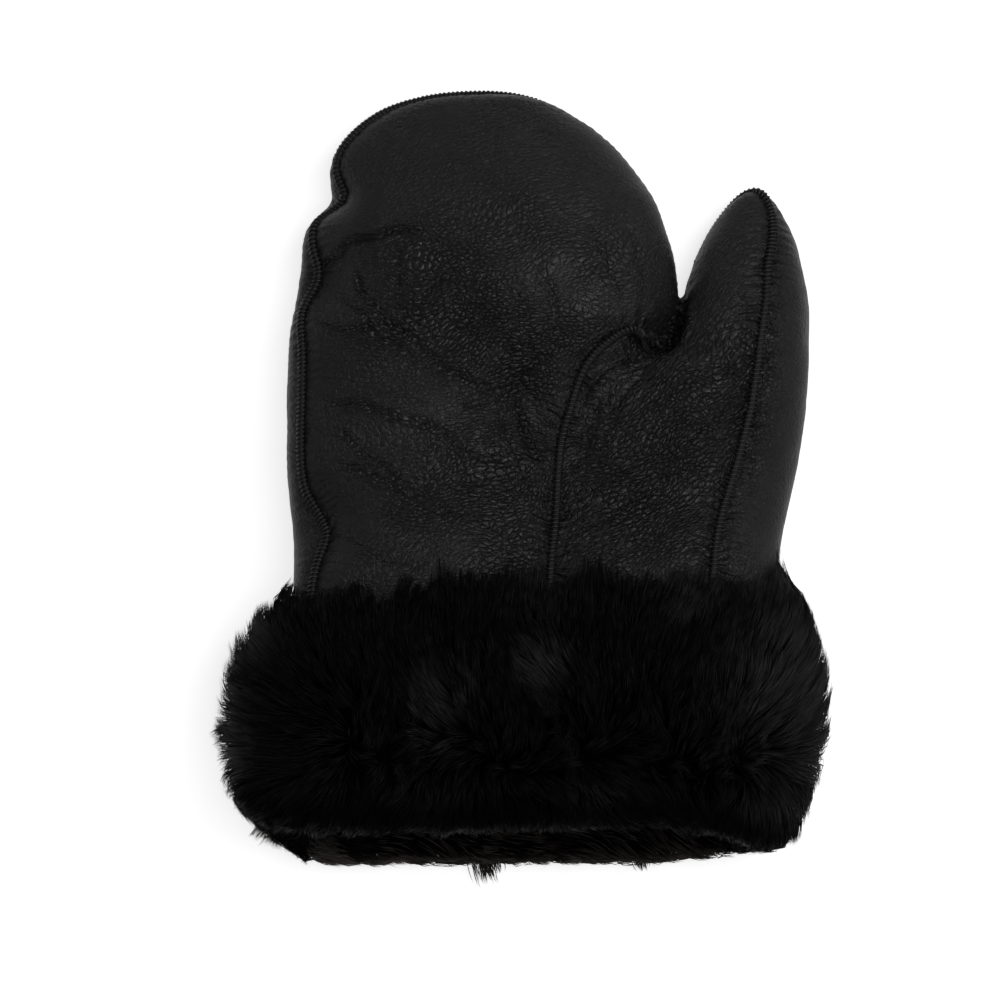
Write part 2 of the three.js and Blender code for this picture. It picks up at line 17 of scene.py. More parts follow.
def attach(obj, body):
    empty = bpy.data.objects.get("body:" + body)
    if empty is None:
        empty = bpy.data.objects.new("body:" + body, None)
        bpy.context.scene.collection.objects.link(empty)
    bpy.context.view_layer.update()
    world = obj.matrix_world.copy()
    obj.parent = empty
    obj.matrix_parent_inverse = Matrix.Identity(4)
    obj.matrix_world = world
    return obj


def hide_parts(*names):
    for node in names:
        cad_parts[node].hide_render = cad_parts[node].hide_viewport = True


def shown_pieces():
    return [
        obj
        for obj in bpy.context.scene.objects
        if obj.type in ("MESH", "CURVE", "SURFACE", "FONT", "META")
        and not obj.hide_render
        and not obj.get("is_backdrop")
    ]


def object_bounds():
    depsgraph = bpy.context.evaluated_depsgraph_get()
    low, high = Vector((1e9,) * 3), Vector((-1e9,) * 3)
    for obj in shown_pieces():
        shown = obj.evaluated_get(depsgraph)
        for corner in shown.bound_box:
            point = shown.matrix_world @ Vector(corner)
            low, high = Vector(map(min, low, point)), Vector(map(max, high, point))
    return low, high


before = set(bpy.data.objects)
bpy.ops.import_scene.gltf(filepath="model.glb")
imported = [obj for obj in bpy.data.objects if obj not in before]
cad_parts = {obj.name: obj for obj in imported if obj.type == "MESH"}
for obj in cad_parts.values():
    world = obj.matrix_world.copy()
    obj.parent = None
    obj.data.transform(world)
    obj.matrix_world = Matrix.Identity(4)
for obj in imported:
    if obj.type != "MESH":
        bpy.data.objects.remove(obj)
cad_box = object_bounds()
print("solids:", sorted(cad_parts))

# %% [markdown]
# The mitten's own coordinates
# The solids were drawn in millimetres: x across the hand to the thumb, y from the wrist to the
# fingertips, z up. The frame's origin is in the middle of the outline instead, and its unit is
# the metre. Everything below is worked out in the drawing's millimetres and moved at the end.

# %% Sizes of the drawing
MM = 0.001
DRAWING_CENTRE = np.array([13.5596, 127.6111, 0.0])
HAND_LENGTH, HAND_WIDTH, HAND_THICKNESS = 262, 135, 50
THUMB_LENGTH, THUMB_WIDTH, THUMB_THICKNESS = 229, 48, 40
ROUNDNESS = 2.3
SETTLE = 2
LEATHER = 1.6
WOOL = 6
SEAM_DIAMETER = 2.6
CLEARANCE = 0.3
CUFF_HEIGHT, PILE_DEPTH, CUFF_LIFT, LIFT_RUN = 90, 20, 10, 38
MOUTH_SLANT, CUFF_ROUNDNESS = 12, 3
LOW_TURN, LOW_RUN = 22, 30

# Rows: place along the hand, left edge, right edge, thickness, height of the underside
HAND_SECTIONS = np.array([
    (0.0, -0.46, 0.27, 0.92, 0.0), (0.2, -0.472, 0.278, 0.95, 0.0),
    (0.37, -0.485, 0.285, 0.98, 0.0), (0.49, -0.5, 0.306, 1.0, 0.0),
    (0.6, -0.5, 0.355, 1.0, 0.0), (0.648, -0.498, 0.43, 0.99, 0.0),
    (0.7, -0.488, 0.487, 0.98, 0.0), (0.765, -0.467, 0.487, 0.95, 0.0),
    (0.822, -0.452, 0.456, 0.9, 0.0), (0.856, -0.398, 0.432, 0.85, 0.01),
    (0.885, -0.399, 0.397, 0.78, 0.02), (0.915, -0.386, 0.352, 0.69, 0.05),
    (0.945, -0.344, 0.291, 0.57, 0.1), (0.972, -0.272, 0.212, 0.42, 0.17),
    (0.99, -0.18, 0.138, 0.26, 0.26), (1.0, -0.013, -0.013, 0.0, 0.4),
])
# Rows: place along the thumb, centre line, width, thickness, height of the underside
THUMB_SECTIONS = np.array([
    (0.0, 0.395, 1.66, 1.1, 0.0), (0.226, 0.394, 1.79, 1.14, 0.0),
    (0.422, 0.399, 1.91, 1.15, 0.0), (0.558, 0.427, 2.02, 1.13, 0.0),
    (0.649, 0.453, 2.03, 1.09, 0.0), (0.694, 0.472, 1.97, 1.06, 0.0),
    (0.721, 0.508, 1.78, 1.04, 0.0), (0.742, 0.592, 1.32, 1.02, 0.0),
    (0.757, 0.631, 1.1, 1.0, 0.0), (0.785, 0.65, 1.0, 0.98, 0.0),
    (0.83, 0.665, 0.9, 0.93, 0.01), (0.875, 0.672, 0.785, 0.84, 0.02),
    (0.92, 0.68, 0.64, 0.7, 0.05), (0.958, 0.685, 0.44, 0.5, 0.13),
    (0.983, 0.69, 0.265, 0.31, 0.23), (1.0, 0.698, 0.0, 0.0, 0.4),
])
# Rows: place along the hand, degrees round its section
SIDE_SEAM = np.array([
    (0.0, 150), (0.34, 151), (0.385, 147), (0.417, 142), (0.445, 147), (0.48, 154),
    (0.6, 155), (0.66, 157), (0.71, 164), (0.752, 158), (0.81, 166), (0.838, 172),
    (0.862, 163), (0.9, 167), (0.955, 165), (1.0, 180),
])
# Rows: place along the thumb, distance in from its outer edge
THUMB_SEAM = np.array([
    (0.0, 0.45), (0.428, 0.46), (0.481, 0.475), (0.53, 0.468), (0.594, 0.439),
    (0.659, 0.41), (0.722, 0.381), (0.787, 0.345), (0.836, 0.302), (0.885, 0.241),
    (0.949, 0.094), (0.97, 0.05), (1.0, 0.0),
])
# Rows: place on the way to the crotch, place across the hand
GUSSET_SEAM = np.array([
    (0.0, 0.166), (0.284, 0.164), (0.517, 0.165), (0.618, 0.179), (0.717, 0.185),
    (0.788, 0.199), (0.858, 0.226), (0.91, 0.258), (0.949, 0.308), (0.977, 0.374),
    (0.957, 0.404), (0.932, 0.43), (0.943, 0.446), (0.969, 0.471),
])
# Rows: along, across, height, radius, push to +x, push down
DENTS = np.array([
    (0.858, -0.4, 0.55, 0.075, 0.08, 0.05), (0.756, -0.43, 0.75, 0.09, 0.05, 0.07),
    (0.417, -0.42, 0.8, 0.11, 0.05, 0.09), (0.56, 0.11, 0.95, 0.11, 0.0, 0.08),
    (0.655, 0.4, 0.85, 0.08, 0.0, 0.08),
])
# Rows: place up the cuff, depth of the fur at the left, the right and the front
CUFF_SECTIONS = np.array([
    (-0.02, 0.1, 0.12, 0.2), (0.04, 0.4, 0.44, 0.52), (0.13, 0.86, 0.62, 0.76),
    (0.24, 1.08, 0.72, 0.88), (0.36, 1.18, 0.82, 0.95), (0.49, 1.16, 0.9, 1.0),
    (0.62, 1.08, 0.92, 1.0), (0.74, 0.95, 0.84, 0.94), (0.85, 0.7, 0.66, 0.78),
    (0.94, 0.38, 0.42, 0.48), (1.0, 0.13, 0.2, 0.2),
])


def smoothstep(value, low, high):
    share = np.clip((value - low) / (high - low), 0, 1)
    return share * share * (3 - 2 * share)


def column(table, which, at):
    """Smooth value of a table's column, drawn in the square root of the distance to the tip."""
    at = np.asarray(at, float)
    knots = np.sqrt(np.maximum(1 - table[:, 0], 0))
    values = table[:, which]
    last = len(table) - 1
    i = np.clip(np.searchsorted(table[1:, 0], at, side="left"), 0, last - 1)

    def slope(k):
        a, b = np.clip(k - 1, 0, last), np.clip(k + 1, 0, last)
        return (values[b] - values[a]) / (knots[b] - knots[a])

    span = knots[i + 1] - knots[i]
    s = np.clip((np.sqrt(np.maximum(1 - at, 0)) - knots[i]) / span, 0, 1)
    return ((2 * s**3 - 3 * s**2 + 1) * values[i] + (s**3 - 2 * s**2 + s) * span * slope(i)
            + (3 * s**2 - 2 * s**3) * values[i + 1] + (s**3 - s**2) * span * slope(i + 1))


def hand_section(at):
    left, right = (column(HAND_SECTIONS, k, at) * HAND_WIDTH for k in (1, 2))
    thick, base = (column(HAND_SECTIONS, k, at) * HAND_THICKNESS for k in (3, 4))
    return (left + right) / 2, (right - left) / 2, thick / 2, base


def thumb_section(at):
    middle = column(THUMB_SECTIONS, 1, at) * HAND_WIDTH
    wide = column(THUMB_SECTIONS, 2, at) * THUMB_WIDTH
    thick, base = (column(THUMB_SECTIONS, k, at) * THUMB_THICKNESS for k in (3, 4))
    return middle, wide / 2, thick / 2, base


HAND = (hand_section, HAND_LENGTH)
THUMB = (thumb_section, THUMB_LENGTH)


def settled(points):
    """The dents at the seams, and the slant of the mouth."""
    moved = points.copy()
    for along, across, high, size, push, down in DENTS:
        middle = np.array([across * HAND_WIDTH, along * HAND_LENGTH, high * HAND_THICKNESS])
        share = np.exp(-((points - middle) ** 2).sum(-1) / (size * HAND_WIDTH) ** 2)
        moved[..., 0] += share * push * HAND_THICKNESS
        moved[..., 2] -= share * down * HAND_THICKNESS
    near = 1 - smoothstep(points[..., 1], 0, CUFF_HEIGHT)
    moved[..., 1] += MOUTH_SLANT * near * (points[..., 2] / (HAND_THICKNESS + CUFF_LIFT) - 0.5)
    return moved


def power(value, roundness=ROUNDNESS):
    return np.sign(value) * np.abs(value) ** (2 / roundness)


def taken_in(half, inset):
    return np.hypot(half, inset) - inset if inset > 0 else half - inset


def on_tube(tube, at, turn, inset=0.0):
    """Points on the hand or the thumb: at along it, turn radians round it, inset under its face."""
    section, length = tube
    at, turn = np.broadcast_arrays(np.asarray(at, float), np.asarray(turn, float))
    middle, half_width, half_thick, base = section(np.maximum(at, 0))
    y = at * (length - inset)
    z = base + half_thick - SETTLE + taken_in(half_thick, inset) * power(np.sin(turn))
    lift = CUFF_LIFT * (1 - smoothstep(y, CUFF_HEIGHT, CUFF_HEIGHT + LIFT_RUN))
    x = middle + taken_in(half_width, inset) * power(np.cos(turn))
    return settled(np.stack([x, y, np.maximum(z, inset) + lift], -1))


def turn_at(tube, at, x):
    middle, half_width = tube[0](at)[:2]
    share = np.clip((x - middle) / np.maximum(half_width, 1e-9), -1, 1)
    return np.arccos(np.sign(share) * np.abs(share) ** (ROUNDNESS / 2))


def crotch_y():
    low, high = THUMB_LENGTH / 2, THUMB_LENGTH
    for _ in range(30):
        y = (low + high) / 2
        apart = on_tube(HAND, y / HAND_LENGTH, 0)[0] - on_tube(THUMB, y / THUMB_LENGTH, math.pi)[0]
        low, high = (y, high) if apart > 0 else (low, y)
    return low


CROTCH = crotch_y()
print(f"the thumb leaves the hand {CROTCH:.1f} mm up")

# %% [markdown]
# Where the seams run
# Each seam of the drawing is a line on the mitten's face. The same lines steer everything here:
# they part the leather into panels, pull it into puckers, and carry the stitches.

# %% Seam lines
# The spacing of the points along every seam line, in mm
STEP = 0.5

def resampled(points, spacing):
    """The same line with evenly spaced points."""
    lengths = np.r_[0, np.cumsum(np.linalg.norm(np.diff(points, axis=0), axis=1))]
    places = np.linspace(0, lengths[-1], max(int(lengths[-1] / spacing), 2) + 1)
    return np.stack([np.interp(places, lengths, points[:, k]) for k in range(points.shape[1])], 1)


def smooth_line(points, spacing):
    """Centripetal Catmull-Rom curve through a few points."""
    points = np.asarray(points, float)
    p = np.vstack([2 * points[0] - points[1], points, 2 * points[-1] - points[-2]])
    out = []
    for a, b, c, d in zip(p, p[1:], p[2:], p[3:]):
        k = np.cumsum([0] + [max(np.linalg.norm(v), 1e-6) ** 0.5 for v in (b - a, c - b, d - c)])
        t = np.linspace(k[1], k[2], 24)[:-1, None]
        ab, bc, cd = (
            (q * (k[i + 1] - t) + r * (t - k[i])) / (k[i + 1] - k[i])
            for i, (q, r) in enumerate(((a, b), (b, c), (c, d)))
        )
        abc = (ab * (k[2] - t) + bc * (t - k[0])) / (k[2] - k[0])
        bcd = (bc * (k[3] - t) + cd * (t - k[1])) / (k[3] - k[1])
        out.append((abc * (k[2] - t) + bcd * (t - k[1])) / (k[2] - k[1]))
    return resampled(np.vstack([*out, points[-1:]]), spacing)


def to_tip(start, count=260):
    """Places along a tube from a y share to the tip, closer together where the tip rounds off."""
    return 1 - np.linspace(math.sqrt(1 - start), 0, count) ** 2


def low_turn(y):
    return math.radians(LOW_TURN) * smoothstep(y, CROTCH, CROTCH + LOW_RUN)


def crotch_point(share):
    hand = on_tube(HAND, CROTCH / HAND_LENGTH, 0)
    thumb = on_tube(THUMB, CROTCH / THUMB_LENGTH, math.pi)
    point = hand * (1 - share) + thumb * share
    point[2] = (hand[2] + thumb[2]) / 2
    return point[None]


def thumb_seam_turn(at):
    middle, half_width = thumb_section(at)[:2]
    return turn_at(THUMB, at, middle + half_width - column(THUMB_SEAM, 1, at) * THUMB_WIDTH)


SEAM_START = -4.0
seam_lines = {}
up = to_tip(SEAM_START / HAND_LENGTH)
down = to_tip(CROTCH / HAND_LENGTH)[:0:-1]
seam_lines["side_seam"] = np.vstack([
    on_tube(HAND, up, np.radians(column(SIDE_SEAM, 1, np.maximum(up, 0)))),
    on_tube(HAND, down, -low_turn(down * HAND_LENGTH)),
    crotch_point(0),
])
up = to_tip(CROTCH / THUMB_LENGTH)[1:]
down = to_tip(SEAM_START / THUMB_LENGTH)[::-1]
seam_lines["thumb_seam"] = np.vstack([
    crotch_point(1),
    on_tube(THUMB, up, math.pi + low_turn(up * THUMB_LENGTH)),
    on_tube(THUMB, down, thumb_seam_turn(np.maximum(down, 0))),
])
route = smooth_line([(across * HAND_WIDTH, at * CROTCH) for at, across in GUSSET_SEAM], STEP)
route = np.vstack([[route[0, 0], SEAM_START], route])
both = []
for tube in (HAND, THUMB):
    at = route[:, 1] / tube[1]
    both.append(on_tube(tube, at, turn_at(tube, np.maximum(at, 0), route[:, 0])))
on_top = np.where(both[0][:, 2:] > both[1][:, 2:], both[0], both[1])
seam_lines["gusset_seam"] = np.vstack([on_top, crotch_point(0.5)])
seam_lines = {name: resampled(line, STEP) for name, line in seam_lines.items()}
print("seam lengths in mm:", {name: round(len(line) * STEP) for name, line in seam_lines.items()})

# %% [markdown]
# Making meshes from numbers
# Blender can take a whole mesh as arrays, which is much faster than building it face by face.
# Soft, organic forms are joined best by a voxel remesh: two closed tubes that cross go in, and
# one even skin comes out.

# %% Mesh helpers


def to_frame(points):
    return (points - DRAWING_CENTRE) * MM


def to_drawing(points):
    return points / MM + DRAWING_CENTRE


def new_piece(name, points, *face_sets):
    """An object from points in the drawing's millimetres and arrays of triangles or quads."""
    mesh = bpy.data.meshes.new(name)
    sizes = np.concatenate([np.full(len(f), f.shape[1], np.int32) for f in face_sets])
    mesh.vertices.add(len(points))
    mesh.vertices.foreach_set("co", to_frame(points).astype(np.float32).ravel())
    mesh.loops.add(int(sizes.sum()))
    mesh.loops.foreach_set(
        "vertex_index", np.concatenate([f.ravel() for f in face_sets]).astype(np.int32))
    mesh.polygons.add(len(sizes))
    mesh.polygons.foreach_set(
        "loop_start", np.r_[0, np.cumsum(sizes)[:-1]].astype(np.int32))
    mesh.polygons.foreach_set("use_smooth", np.ones(len(sizes), bool))
    mesh.update(calc_edges=True)
    mesh.validate()
    piece = bpy.data.objects.new(name, mesh)
    bpy.context.scene.collection.objects.link(piece)
    return piece


def grid_faces(rows, sides):
    """Quads of a grid that closes on itself the short way, row after row."""
    r, k = np.meshgrid(np.arange(rows - 1), np.arange(sides), indexing="ij")
    n = (k + 1) % sides
    return np.stack([r * sides + k, (r + 1) * sides + k, (r + 1) * sides + n, r * sides + n],
                    -1).reshape(-1, 4)


def closed_tube(grid):
    """Points and faces of a closed solid from rings of points."""
    rows, sides = grid.shape[:2]
    points = np.vstack([grid.reshape(-1, 3), grid[0].mean(0), grid[-1].mean(0)])
    k = np.arange(sides)
    n = (k + 1) % sides
    last = (rows - 1) * sides
    first_cap = np.stack([np.full(sides, rows * sides), k, n], 1)
    last_cap = np.stack([np.full(sides, rows * sides + 1), last + n, last + k], 1)
    return points, grid_faces(rows, sides), np.vstack([first_cap, last_cap])


def tube_grid(tube, start, inset=0.0, rows=150, sides=120):
    places = to_tip(start / tube[1], rows)[:-1]
    turns = np.arange(sides) * 2 * math.pi / sides
    return on_tube(tube, places[:, None], turns[None, :], inset)


def joined_tubes(name, grids):
    """One object that holds several closed tubes, which may cross."""
    points, quads, triangles, count = [], [], [], 0
    for grid in grids:
        p, q, t = closed_tube(grid)
        points.append(p)
        quads.append(q + count)
        triangles.append(t + count)
        count += len(p)
    return new_piece(name, np.vstack(points), np.vstack(quads), np.vstack(triangles))


def with_modifiers(piece):
    """Applies an object's modifiers to its mesh."""
    depsgraph = bpy.context.evaluated_depsgraph_get()
    mesh = bpy.data.meshes.new_from_object(piece.evaluated_get(depsgraph))
    piece.modifiers.clear()
    old = piece.data
    piece.data = mesh
    bpy.data.meshes.remove(old)
    return piece


def remeshed(piece, size):
    step = piece.modifiers.new("one skin", "REMESH")
    step.mode = "VOXEL"
    step.voxel_size = size * MM
    return with_modifiers(piece)


def cut_from(piece, cutter):
    step = piece.modifiers.new("cut", "BOOLEAN")
    step.operation = "DIFFERENCE"
    step.solver = "MANIFOLD"
    step.object = cutter
    return with_modifiers(piece)


def discard(piece):
    bpy.data.objects.remove(piece)


def read(mesh, what, kind, width=1, dtype=np.float32):
    values = np.empty(len(getattr(mesh, kind)) * width, dtype)
    getattr(mesh, kind).foreach_get(what, values)
    return values.reshape(-1, width) if width > 1 else values


def points_of(piece):
    return to_drawing(read(piece.data, "co", "vertices", 3).astype(float))


def set_points(piece, points):
    piece.data.vertices.foreach_set("co", to_frame(points).astype(np.float32).ravel())
    piece.data.update()


def noise(points, size, seed):
    """Soft noise from -1 to 1, with hills about size apart."""
    q = np.atleast_2d(points) / size + seed * 17.31
    cell = np.floor(q).astype(np.int64)
    f = q - cell
    f = f * f * (3 - 2 * f)
    total = np.zeros(len(q))
    for corner in np.ndindex(*(2,) * q.shape[1]):
        c = cell + corner
        h = np.full(len(q), seed * 374761393, np.int64)
        for axis, prime in zip(range(q.shape[1]), (73856093, 19349663, 83492791)):
            h ^= c[:, axis] * prime
        h = ((h ^ (h >> 13)) * 1274126177) & 0xFFFFFFFF
        h = (h ^ (h >> 16)) & 0xFFFF
        weight = np.prod([f[:, a] if s else 1 - f[:, a] for a, s in enumerate(corner)], axis=0)
        total += weight * (h / 32767.5 - 1)
    return total


# %% [markdown]
# The skin of the mitten
# Hand and thumb are joined and then relaxed a little, as wet-shaped leather is round where
# they meet. The relaxing is a plain average with the neighbours, repeated a few times.

# %% One skin for hand and thumb
SKIN_START = -4.0
SKIN_GRID = 1.05
RELAXING_ROUNDS = 14
skin = joined_tubes("skin", [tube_grid(HAND, SKIN_START), tube_grid(THUMB, SKIN_START)])
remeshed(skin, SKIN_GRID)


def relaxed(piece, times, share=0.5):
    """Moves each point a share of the way to the average of its neighbours, a few times."""
    points = read(piece.data, "co", "vertices", 3).astype(float)
    edges = read(piece.data, "vertices", "edges", 2, np.int32)
    both_ways = np.vstack([edges, edges[:, ::-1]])
    count = np.bincount(both_ways[:, 0], minlength=len(points))[:, None]
    for _ in range(times):
        around = np.stack([
            np.bincount(both_ways[:, 0], points[both_ways[:, 1], k], len(points)) for k in range(3)
        ], 1) / count
        points = points + share * (around - points)
    piece.data.vertices.foreach_set("co", points.astype(np.float32).ravel())
    piece.data.update()


relaxed(skin, RELAXING_ROUNDS)
print("skin:", len(skin.data.polygons), "faces")

# %% [markdown]
# Laying the seams on the skin
# The relaxed skin has moved a little, so each seam line is laid onto it again.

# %% Seams on the skin


def skin_tree(piece):
    mesh = piece.data
    faces = read(mesh, "vertex_index", "loops", 1, np.int32)
    starts = read(mesh, "loop_start", "polygons", 1, np.int32)
    polygons = [list(f) for f in np.split(faces, starts[1:])]
    return BVHTree.FromPolygons([tuple(p) for p in points_of(piece)], polygons)


def laid_on(tree, line, spread=3):
    """The nearest points on the skin and its normals there, both evened out along the line."""
    hits = [tree.find_nearest(p) for p in line]
    points = np.array([h[0] for h in hits])
    normals = np.array([h[1] for h in hits])
    window = np.ones(2 * spread + 1) / (2 * spread + 1)

    def even(values):
        padded = np.pad(values, ((spread, spread), (0, 0)), mode="edge")
        return np.stack([np.convolve(padded[:, k], window, "valid") for k in range(3)], 1)

    normals = even(normals)
    return even(points), normals / np.linalg.norm(normals, axis=1)[:, None]


tree = skin_tree(skin)
laid = {name: laid_on(tree, line) for name, line in seam_lines.items()}


def nearest_on(line, points):
    """Distance to a line and the length along it of its nearest point."""
    kd = KDTree(len(line))
    for i, p in enumerate(line):
        kd.insert(p, i)
    kd.balance()
    found = [kd.find(p)[1:] for p in points]
    return np.array([f[1] for f in found]), np.array([f[0] for f in found]) * STEP


skin_points = points_of(skin)
from_seam = {name: nearest_on(line, skin_points) for name, (line, _) in laid.items()}
print("seams laid on the skin")

# %% [markdown]
# Folds and puckers
# A seam is shorter than the leather beside it, so the leather gathers into small folds across
# it. The palm has long soft creases where the hand closes. All of these stand in the mesh, and
# only the grain is left to the material.

# %% Folds of the leather
# Each fold: depth, half width, and points on the palm as (x, y)
FOLDS = [
    (0.9, 1.7, [(-47, 205), (-42, 194), (-36, 185), (-31, 180), (-23, 174), (-18, 169)]),
    (0.7, 1.6, [(-24, 174), (-11, 165), (-3, 161), (7, 159), (13, 162)]),
    (0.8, 1.7, [(10, 158), (13, 163), (23, 172), (33, 177)]),
    (0.6, 1.6, [(-60, 161), (-52, 154), (-41, 153), (-31, 149), (-21, 147), (-13, 142),
                (-8, 137), (6, 135), (19, 137)]),
    (0.6, 1.5, [(-60, 149), (-49, 144), (-41, 137), (-34, 132), (-25, 125), (-16, 120), (0, 112),
                (14, 108)]),
    (0.6, 1.5, [(-55, 135), (-39, 131), (-31, 126), (-18, 118), (-8, 112)]),
    (0.8, 1.6, [(9, 158), (13, 149), (15, 140), (22, 130)]),
    (0.6, 1.4, [(5, 152), (8, 143), (12, 134), (16, 124)]),
    (0.5, 1.4, [(-12, 151), (-3, 153), (4, 155), (10, 157)]),
    (0.7, 1.5, [(-60, 181), (-50, 180), (-42, 180), (-34, 182)]),
    (0.8, 1.8, [(-60, 200), (-51, 204), (-46, 209), (-34, 212), (-18, 213)]),
    (0.6, 1.5, [(-52, 197), (-44, 188), (-38, 180), (-30, 174), (-22, 167)]),
    (0.5, 1.5, [(-56, 111), (-43, 106), (-30, 100), (-13, 97)]),
    (0.4, 1.2, [(-29, 208), (-29, 198), (-29, 190), (-25, 179)]),
    (0.4, 1.2, [(-10, 200), (-18, 192), (-22, 184), (-24, 175)]),
    (0.4, 1.3, [(12, 165), (8, 176), (0, 186), (-4, 198)]),
    (0.4, 1.2, [(14, 166), (15, 178), (12, 190), (10, 200)]),
    (0.5, 1.3, [(20, 172), (24, 184), (22, 196), (18, 206)]),
    (0.5, 1.4, [(49, 188), (45, 196), (40, 205), (36, 216)]),
    (0.4, 1.3, [(55, 188), (54, 198), (51, 208), (47, 218)]),
    (0.5, 1.5, [(28, 119), (45, 129), (64, 137), (80, 150), (91, 161)]),
    (0.5, 1.5, [(27, 108), (45, 117), (66, 129), (86, 142)]),
    (0.4, 1.4, [(38, 98), (61, 110), (80, 121)]),
    (0.5, 1.5, [(47, 150), (64, 158), (80, 163), (92, 169)]),
    (0.6, 1.4, [(60, 170), (47, 167), (36, 159), (33, 150)]),
    (0.6, 1.4, [(60, 169), (51, 160), (44, 150), (41, 140)]),
    (0.5, 1.3, [(61, 167), (62, 158), (66, 150), (72, 144)]),
    (0.6, 1.4, [(63, 168), (73, 164), (82, 166), (90, 173)]),
    (0.4, 1.3, [(38, 160), (36, 146), (34, 132), (33, 118)]),
    (0.4, 1.3, [(43, 156), (41, 143), (39, 130)]),
    (1.7, 2.2, [(49, 183), (52, 176), (58, 171), (64, 174), (68, 183), (70, 190)]),
]
# Each hollow or swelling: x, y, radius, height over the skin
HOLLOWS = [
    (12, 156, 7, -2.4), (17, 142, 6, -1.8), (28, 152, 8, 1.6), (57, 178, 5, -2.0),
    (47, 170, 6, 1.2), (38, 154, 7, -1.4), (58, 152, 12, 1.0), (-28, 187, 11, 0.9),
    (-25, 190, 26, 0.9), (-20, 128, 16, 0.8), (10, 205, 24, 0.7), (70, 140, 18, 1.3),
    (-48, 118, 10, -0.9), (-48, 196, 9, -0.8), (51, 182, 4, 1.5), (64, 183, 5, -1.6),
    (61, 177, 5, -1.5),
]


# A fold is narrower than it was traced, wanders a little and runs out at both ends
FOLD_NARROWING = 0.72
FOLD_WANDER, WANDER_SIZE = 1.2, 9.0
FADES_IN, FADES_OUT = (0, 0.2), (0.75, 1.0)


def folds_near(points):
    """For each fold: depth, width, signed distance from it and how strong it is there."""
    for depth, width, corners in FOLDS:
        line = smooth_line(corners, 1.0)
        line += FOLD_WANDER * np.stack([noise(line, WANDER_SIZE, k) for k in (3, 4)], 1)
        way = np.gradient(line, axis=0)
        near = np.full(len(points), np.inf)
        place, side = np.zeros(len(points)), np.ones(len(points))
        for k, p in enumerate(line):
            away = points[:, :2] - p
            d = np.hypot(away[:, 0], away[:, 1])
            place = np.where(d < near, k / len(line), place)
            left = np.sign(way[k, 0] * away[:, 1] - way[k, 1] * away[:, 0])
            side = np.where(d < near, left, side)
            near = np.minimum(near, d)
        fade = smoothstep(place, *FADES_IN) * (1 - smoothstep(place, *FADES_OUT))
        yield depth, width, near * side, fade


def fold_height(points):
    """Each fold is a valley with a low swelling beside it."""
    total = np.zeros(len(points))
    for depth, width, near, fade in folds_near(points):
        near = np.abs(near)
        width *= FOLD_NARROWING
        shape = -np.exp(-(near / width) ** 2) + 0.3 * np.exp(-((near - 2 * width) / width) ** 2)
        total += depth * fade * shape
    return total


skin_normals = read(skin.data, "vector", "vertex_normals", 3).astype(float)
facing = smoothstep(skin_normals[:, 2], 0.1, 0.5)
near_seam = np.min([d for d, _ in from_seam.values()], axis=0)

VALLEY_DEPTH, VALLEY_WIDTH = 1.1, 3.6
# The wool inside fills the leather out
FILLED_OUT = 1.0
# Slack leather: height and distance of its soft hills, and a seed
SLACK = ((0.55, 30.0, 5), (0.22, 11.0, 6))
LYING_FLAT = (1.0, 4.0)
PUCKER_SPACING, PUCKER_HEIGHT, PUCKER_REACH = 3.3, 0.42, 6.5
height = -VALLEY_DEPTH * np.exp(-((near_seam / VALLEY_WIDTH) ** 2))
for seed, (distance, along) in enumerate(from_seam.values()):
    wander = noise(along[:, None] * np.ones(2) + distance[:, None] * [0, 0.4], 14.0, seed + 1)
    wave = np.cos(2 * math.pi * along / PUCKER_SPACING + 3.2 * wander)
    strength = 0.55 + 0.45 * noise(along[:, None] * np.ones(2), 22.0, seed + 21)
    reach = np.exp(-np.maximum(distance - 1.5, 0) / PUCKER_REACH)
    height += PUCKER_HEIGHT * strength * wave * reach
height += facing * fold_height(skin_points)
for x, y, radius, rise in HOLLOWS:
    away = np.hypot(skin_points[:, 0] - x, skin_points[:, 1] - y)
    height += facing * rise * np.exp(-((away / radius) ** 2))
height += sum(rise * noise(skin_points, size, seed) for rise, size, seed in SLACK)
height += 0.10 * noise(skin_points * [0.5, 1.6, 1.0], 5.0, 7)
height += FILLED_OUT
resting = smoothstep(skin_points[:, 2], *LYING_FLAT)
set_points(skin, skin_points + skin_normals * (height * resting)[:, None])
relaxed(skin, 1, 0.4)
print(f"folds and puckers: {height.min():.1f} to {height.max():.1f} mm")

# %% [markdown]
# Parting the leather
# The panels are found as a cutter would find them: spread out from any spot and stop at the
# seams. The faces under a seam go to the panel next to them, and their edge is moved onto the
# seam line, where the stitches hide it.

# %% Leather panels
mesh = skin.data
corner_edges = read(mesh, "edge_index", "loops", 1, np.int32)
corner_points = read(mesh, "vertex_index", "loops", 1, np.int32)
starts = read(mesh, "loop_start", "polygons", 1, np.int32)
sizes = read(mesh, "loop_total", "polygons", 1, np.int32)
face_of_corner = np.repeat(np.arange(len(sizes)), sizes)
order = np.argsort(corner_edges, kind="stable")
pairs = order[:len(order) // 2 * 2].reshape(-1, 2)
face_pairs = face_of_corner[pairs]
neighbours = [[] for _ in sizes]
for a, b in face_pairs.tolist():
    neighbours[a].append(b)
    neighbours[b].append(a)
middles = np.add.reduceat(skin_points[corner_points], starts) / sizes[:, None]
BARRIER = 2.0
lines = np.vstack([line for line, _ in laid.values()])
blocked = nearest_on(lines, middles)[0] < BARRIER
mouth_slant = MOUTH_SLANT * (1 - smoothstep(skin_points[:, 1], 0, CUFF_HEIGHT)) * (
    skin_points[:, 2] / (HAND_THICKNESS + CUFF_LIFT) - 0.5)
from_mouth = np.add.reduceat((skin_points[:, 1] - mouth_slant)[corner_points], starts) / sizes
